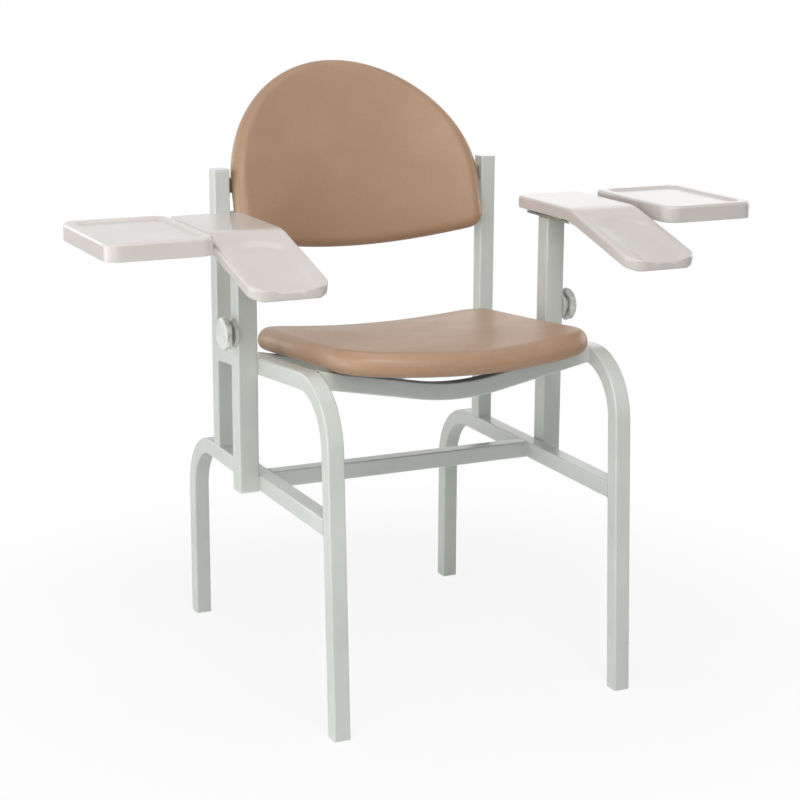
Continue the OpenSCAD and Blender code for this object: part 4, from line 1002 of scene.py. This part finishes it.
# Weld beads, painted with the frame: overlapping drops along every seam between the tubes
weld = {"step": 0.0015, "size": 0.0013, "unevenness": (0.85, 1.12), "seed": 11, "ring": 0.0172, "ringSteps": 48}


def beadTree():
    tree, source, result = newTree("weldBeads", (("Step", "NodeSocketFloat"), ("Size", "NodeSocketFloat"),
                                                 ("Seed", "NodeSocketInt"), ("Finish", "NodeSocketMaterial")))
    curve, points, place, real, paint = chain(
        tree, source.outputs["Geometry"], ("GeometryNodeMeshToCurve", "Mesh"),
        ("GeometryNodeCurveToPoints", "Curve"), ("GeometryNodeInstanceOnPoints", "Points"),
        ("GeometryNodeRealizeInstances", "Geometry"), ("GeometryNodeSetMaterial", "Geometry"))
    points.mode = "LENGTH"
    drop = tree.nodes.new("GeometryNodeMeshUVSphere")
    drop.inputs["Segments"].default_value, drop.inputs["Rings"].default_value = 8, 5
    chance = tree.nodes.new("FunctionNodeRandomValue")
    chance.data_type = "FLOAT"
    chance.inputs[2].default_value, chance.inputs[3].default_value = weld["unevenness"]
    for start, end in ((source.outputs["Step"], points.inputs["Length"]),
                       (source.outputs["Size"], drop.inputs["Radius"]),
                       (source.outputs["Seed"], chance.inputs["Seed"]),
                       (drop.outputs[0], place.inputs["Instance"]), (chance.outputs[1], place.inputs["Scale"]),
                       (source.outputs["Finish"], paint.inputs["Material"]),
                       (paint.outputs[0], result.inputs[0])):
        tree.links.new(start, end)
    return tree


# Seams of the right half, each as a line of points: cross bar and bars, uprights, post, back strips, knob plate
def weldSeams():
    inner, outer, low, high, face, end = 0.1895, 0.2085, 0.254, 0.276, 0.188, 0.2035
    seams = [[(inner, y, high), (outer, y, high)] for y in (0.135, 0.157)]
    seams += [[(inner, 0.135, z), (outer, 0.135, z)] for z in (0.3966, 0.4187)]
    seams += [[(inner, y, z), (outer, y, z)] for y, z in ((-0.2280, high), (-0.2291, low))]
    seams += [[(0.210, y, start), (0.210, y, stop)] for y, start, stop in (
        (-0.0185, 0.257, 0.273), (0.0085, 0.257, 0.273), (-0.0185, 0.4115, 0.429), (0.0085, 0.409, 0.427))]
    seams += [[(face, y, low + 0.002), (face, y, high - 0.002)] for y in (-0.0125, 0.0095)]
    seams += [[tuple(tilted @ Vector((face, place, t))) for t in (-0.009, 0.009)]
              for place in (0.059, 0.081, 0.249, 0.271)]
    seams += [[(inner, 0.157, z), (end, 0.157, z)] for z in (0.575, 0.595, 0.620, 0.640)]
    turns = [math.tau * i / weld["ringSteps"] for i in range(weld["ringSteps"] + 1)]
    return seams + [[(0.237, knob["y"] + weld["ring"] * math.cos(a), knob["z"] + weld["ring"] * math.sin(a))
                     for a in turns]]


points, edges = [], []
for seam in weldSeams():
    for sign in (1, -1):
        start = len(points)
        points += [(sign * x, y, z) for x, y, z in seam]
        edges += [(start + i, start + i + 1) for i in range(len(seam) - 1)]
mesh = bpy.data.meshes.new("weldBeads")
mesh.from_pydata(points, edges, [])
beads = bpy.data.objects.new("weldBeads", mesh)
scene.collection.objects.link(beads)
bake(beads, beadTree(), {"Step": weld["step"], "Size": weld["size"], "Seed": weld["seed"],
                         "Finish": finishes["frame_paint"]})
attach(beads, "frame")
print("weld beads made")


# Studio: white floor that keeps the shadow, soft boxes and a plain pale world
studio = {"floorSize": 12.0, "floorTint": colour(246, 246, 246), "floorShade": colour(243, 243, 243),
          "floorCloud": 3.0, "roughness": 0.9, "specular": 0.1, "drop": 0.0004, "glow": 0.85, "fadeStart": 0.35,
          "fadeEnd": 0.95, "worldLevel": 0.22, "worldTint": (0.985, 0.99, 1.0, 1.0)}


# Close to the chair the floor takes light and shadow, further out it glows white for the camera
def makeFloor(values):
    f = Finish("floorFinish", values)
    f.feed("Base Color", f.blend(f.noise(values["floorCloud"]), values["floorTint"], values["floorShade"]))
    away = f.node("ShaderNodeVectorMath", {"operation": "LENGTH"}, f.place, output=1)
    camera = f.node("ShaderNodeLightPath", {}, output="Is Camera Ray")
    glowing = away.span(values["fadeStart"], values["fadeEnd"], values["glow"], 1.0) * camera
    f.show("ShaderNodeOutputMaterial",
           f.node("ShaderNodeMixShader", {}, glowing, f.surface, f.node("ShaderNodeEmission", {})))
    half = values["floorSize"]
    points = [(half * x, half * y, -values["drop"]) for x, y in ((-1, -1), (1, -1), (1, 1), (-1, 1))]
    makePiece("studioFloor", points, [(0, 1, 2, 3)], f.material, smooth=False)


makeFloor(studio)
scene.world = bpy.data.worlds.new("studioWorld")
sky = Nodes(scene.world)
seen, glossy, through = (sky.node("ShaderNodeLightPath", {}, output="Is " + kind + " Ray")
                         for kind in ("Camera", "Glossy", "Transmission"))
white = seen.maths("MAXIMUM", seen.maths("MAXIMUM", seen, glossy), through)
sky.show("ShaderNodeOutputWorld", sky.node(
    "ShaderNodeMixShader", {}, white,
    sky.node("ShaderNodeBackground", {}, studio["worldTint"], studio["worldLevel"]),
    sky.node("ShaderNodeBackground", {}, (1, 1, 1, 1), 1.0)))

# Each soft box: where it stands, what it looks at, width, height, power in watts, tint
warm, plain = (1.0, 0.99, 0.97), (1.0, 1.0, 1.0)
softBoxes = {
    "keyBox": ((-1.7, -1.5, 1.9), (0, 0, 0.5), 1.3, 1.3, 13.5, warm),
    "nearBox": ((-0.3, -1.4, 1.9), (0, 0.1, 0.7), 0.8, 0.6, 12.0, warm),
    "topBox": ((0.1, 0.0, 2.4), (0, 0, 0.5), 1.6, 1.6, 8.0, plain),
    "sideBox": ((-2.3, 0.3, 0.8), (0, 0, 0.45), 1.4, 1.6, 13.0, plain),
    "leftBox": ((-2.0, -0.2, 0.3), (0, 0, 0.2), 1.6, 0.5, 5.0, plain),
    "lowBox": ((-1.9, -1.9, 0.45), (0, 0, 0.4), 1.2, 0.8, 4.0, plain),
    "frontBox": ((-0.2, -2.8, 1.3), (0, 0, 0.5), 1.6, 1.4, 7.0, plain),
    "rearFill": ((-1.6, 2.1, 0.9), (0, 0, 0.45), 1.4, 1.4, 9.0, plain),
    "rightFill": ((2.4, 0.6, 0.9), (0, 0, 0.45), 1.2, 1.4, 8.0, plain),
    "rearBox": ((1.55, 2.1, 1.25), (0.2, 0, 0.6), 1.0, 1.2, 1.6, (1.0, 0.99, 0.98)),
}
for name, (spot, target, across, high, power, tint) in softBoxes.items():
    lamp = bpy.data.lights.new(name, "AREA")
    lamp.shape, lamp.size, lamp.size_y = "RECTANGLE", across, high
    lamp.energy, lamp.color = power, tint
    box = bpy.data.objects.new(name, lamp)
    box.location, box.visible_camera = spot, False
    box.rotation_euler = (Vector(target) - Vector(spot)).to_track_quat("-Z", "Y").to_euler()
    scene.collection.objects.link(box)
print("studio lit")

# Camera solved from the photograph's perspective, with an 88.6 mm lens
view = {"spot": (-1.0905, -2.3241, 0.9830), "yaw": 25.13, "pitch": 13.82, "roll": 0.268, "lens": 88.61,
        "film": 36.0}
yaw, pitch, roll = (math.radians(view[k]) for k in ("yaw", "pitch", "roll"))
ahead = Vector((math.sin(yaw) * math.cos(pitch), math.cos(yaw) * math.cos(pitch), -math.sin(pitch)))
right = Vector((math.cos(yaw), -math.sin(yaw), 0))
up = right.cross(ahead)
side = math.cos(roll) * right + math.sin(roll) * up
top = math.cos(roll) * up - math.sin(roll) * right
lens = bpy.data.cameras.new("camera")
lens.lens, lens.sensor_width = view["lens"], view["film"]
camera = bpy.data.objects.new("camera", lens)
camera.matrix_world = Matrix((side, top, -ahead)).transposed().to_4x4()
camera.location = view["spot"]
scene.collection.objects.link(camera)
scene.camera = camera
scene.view_settings.view_transform = "Standard"

print("scene ready")
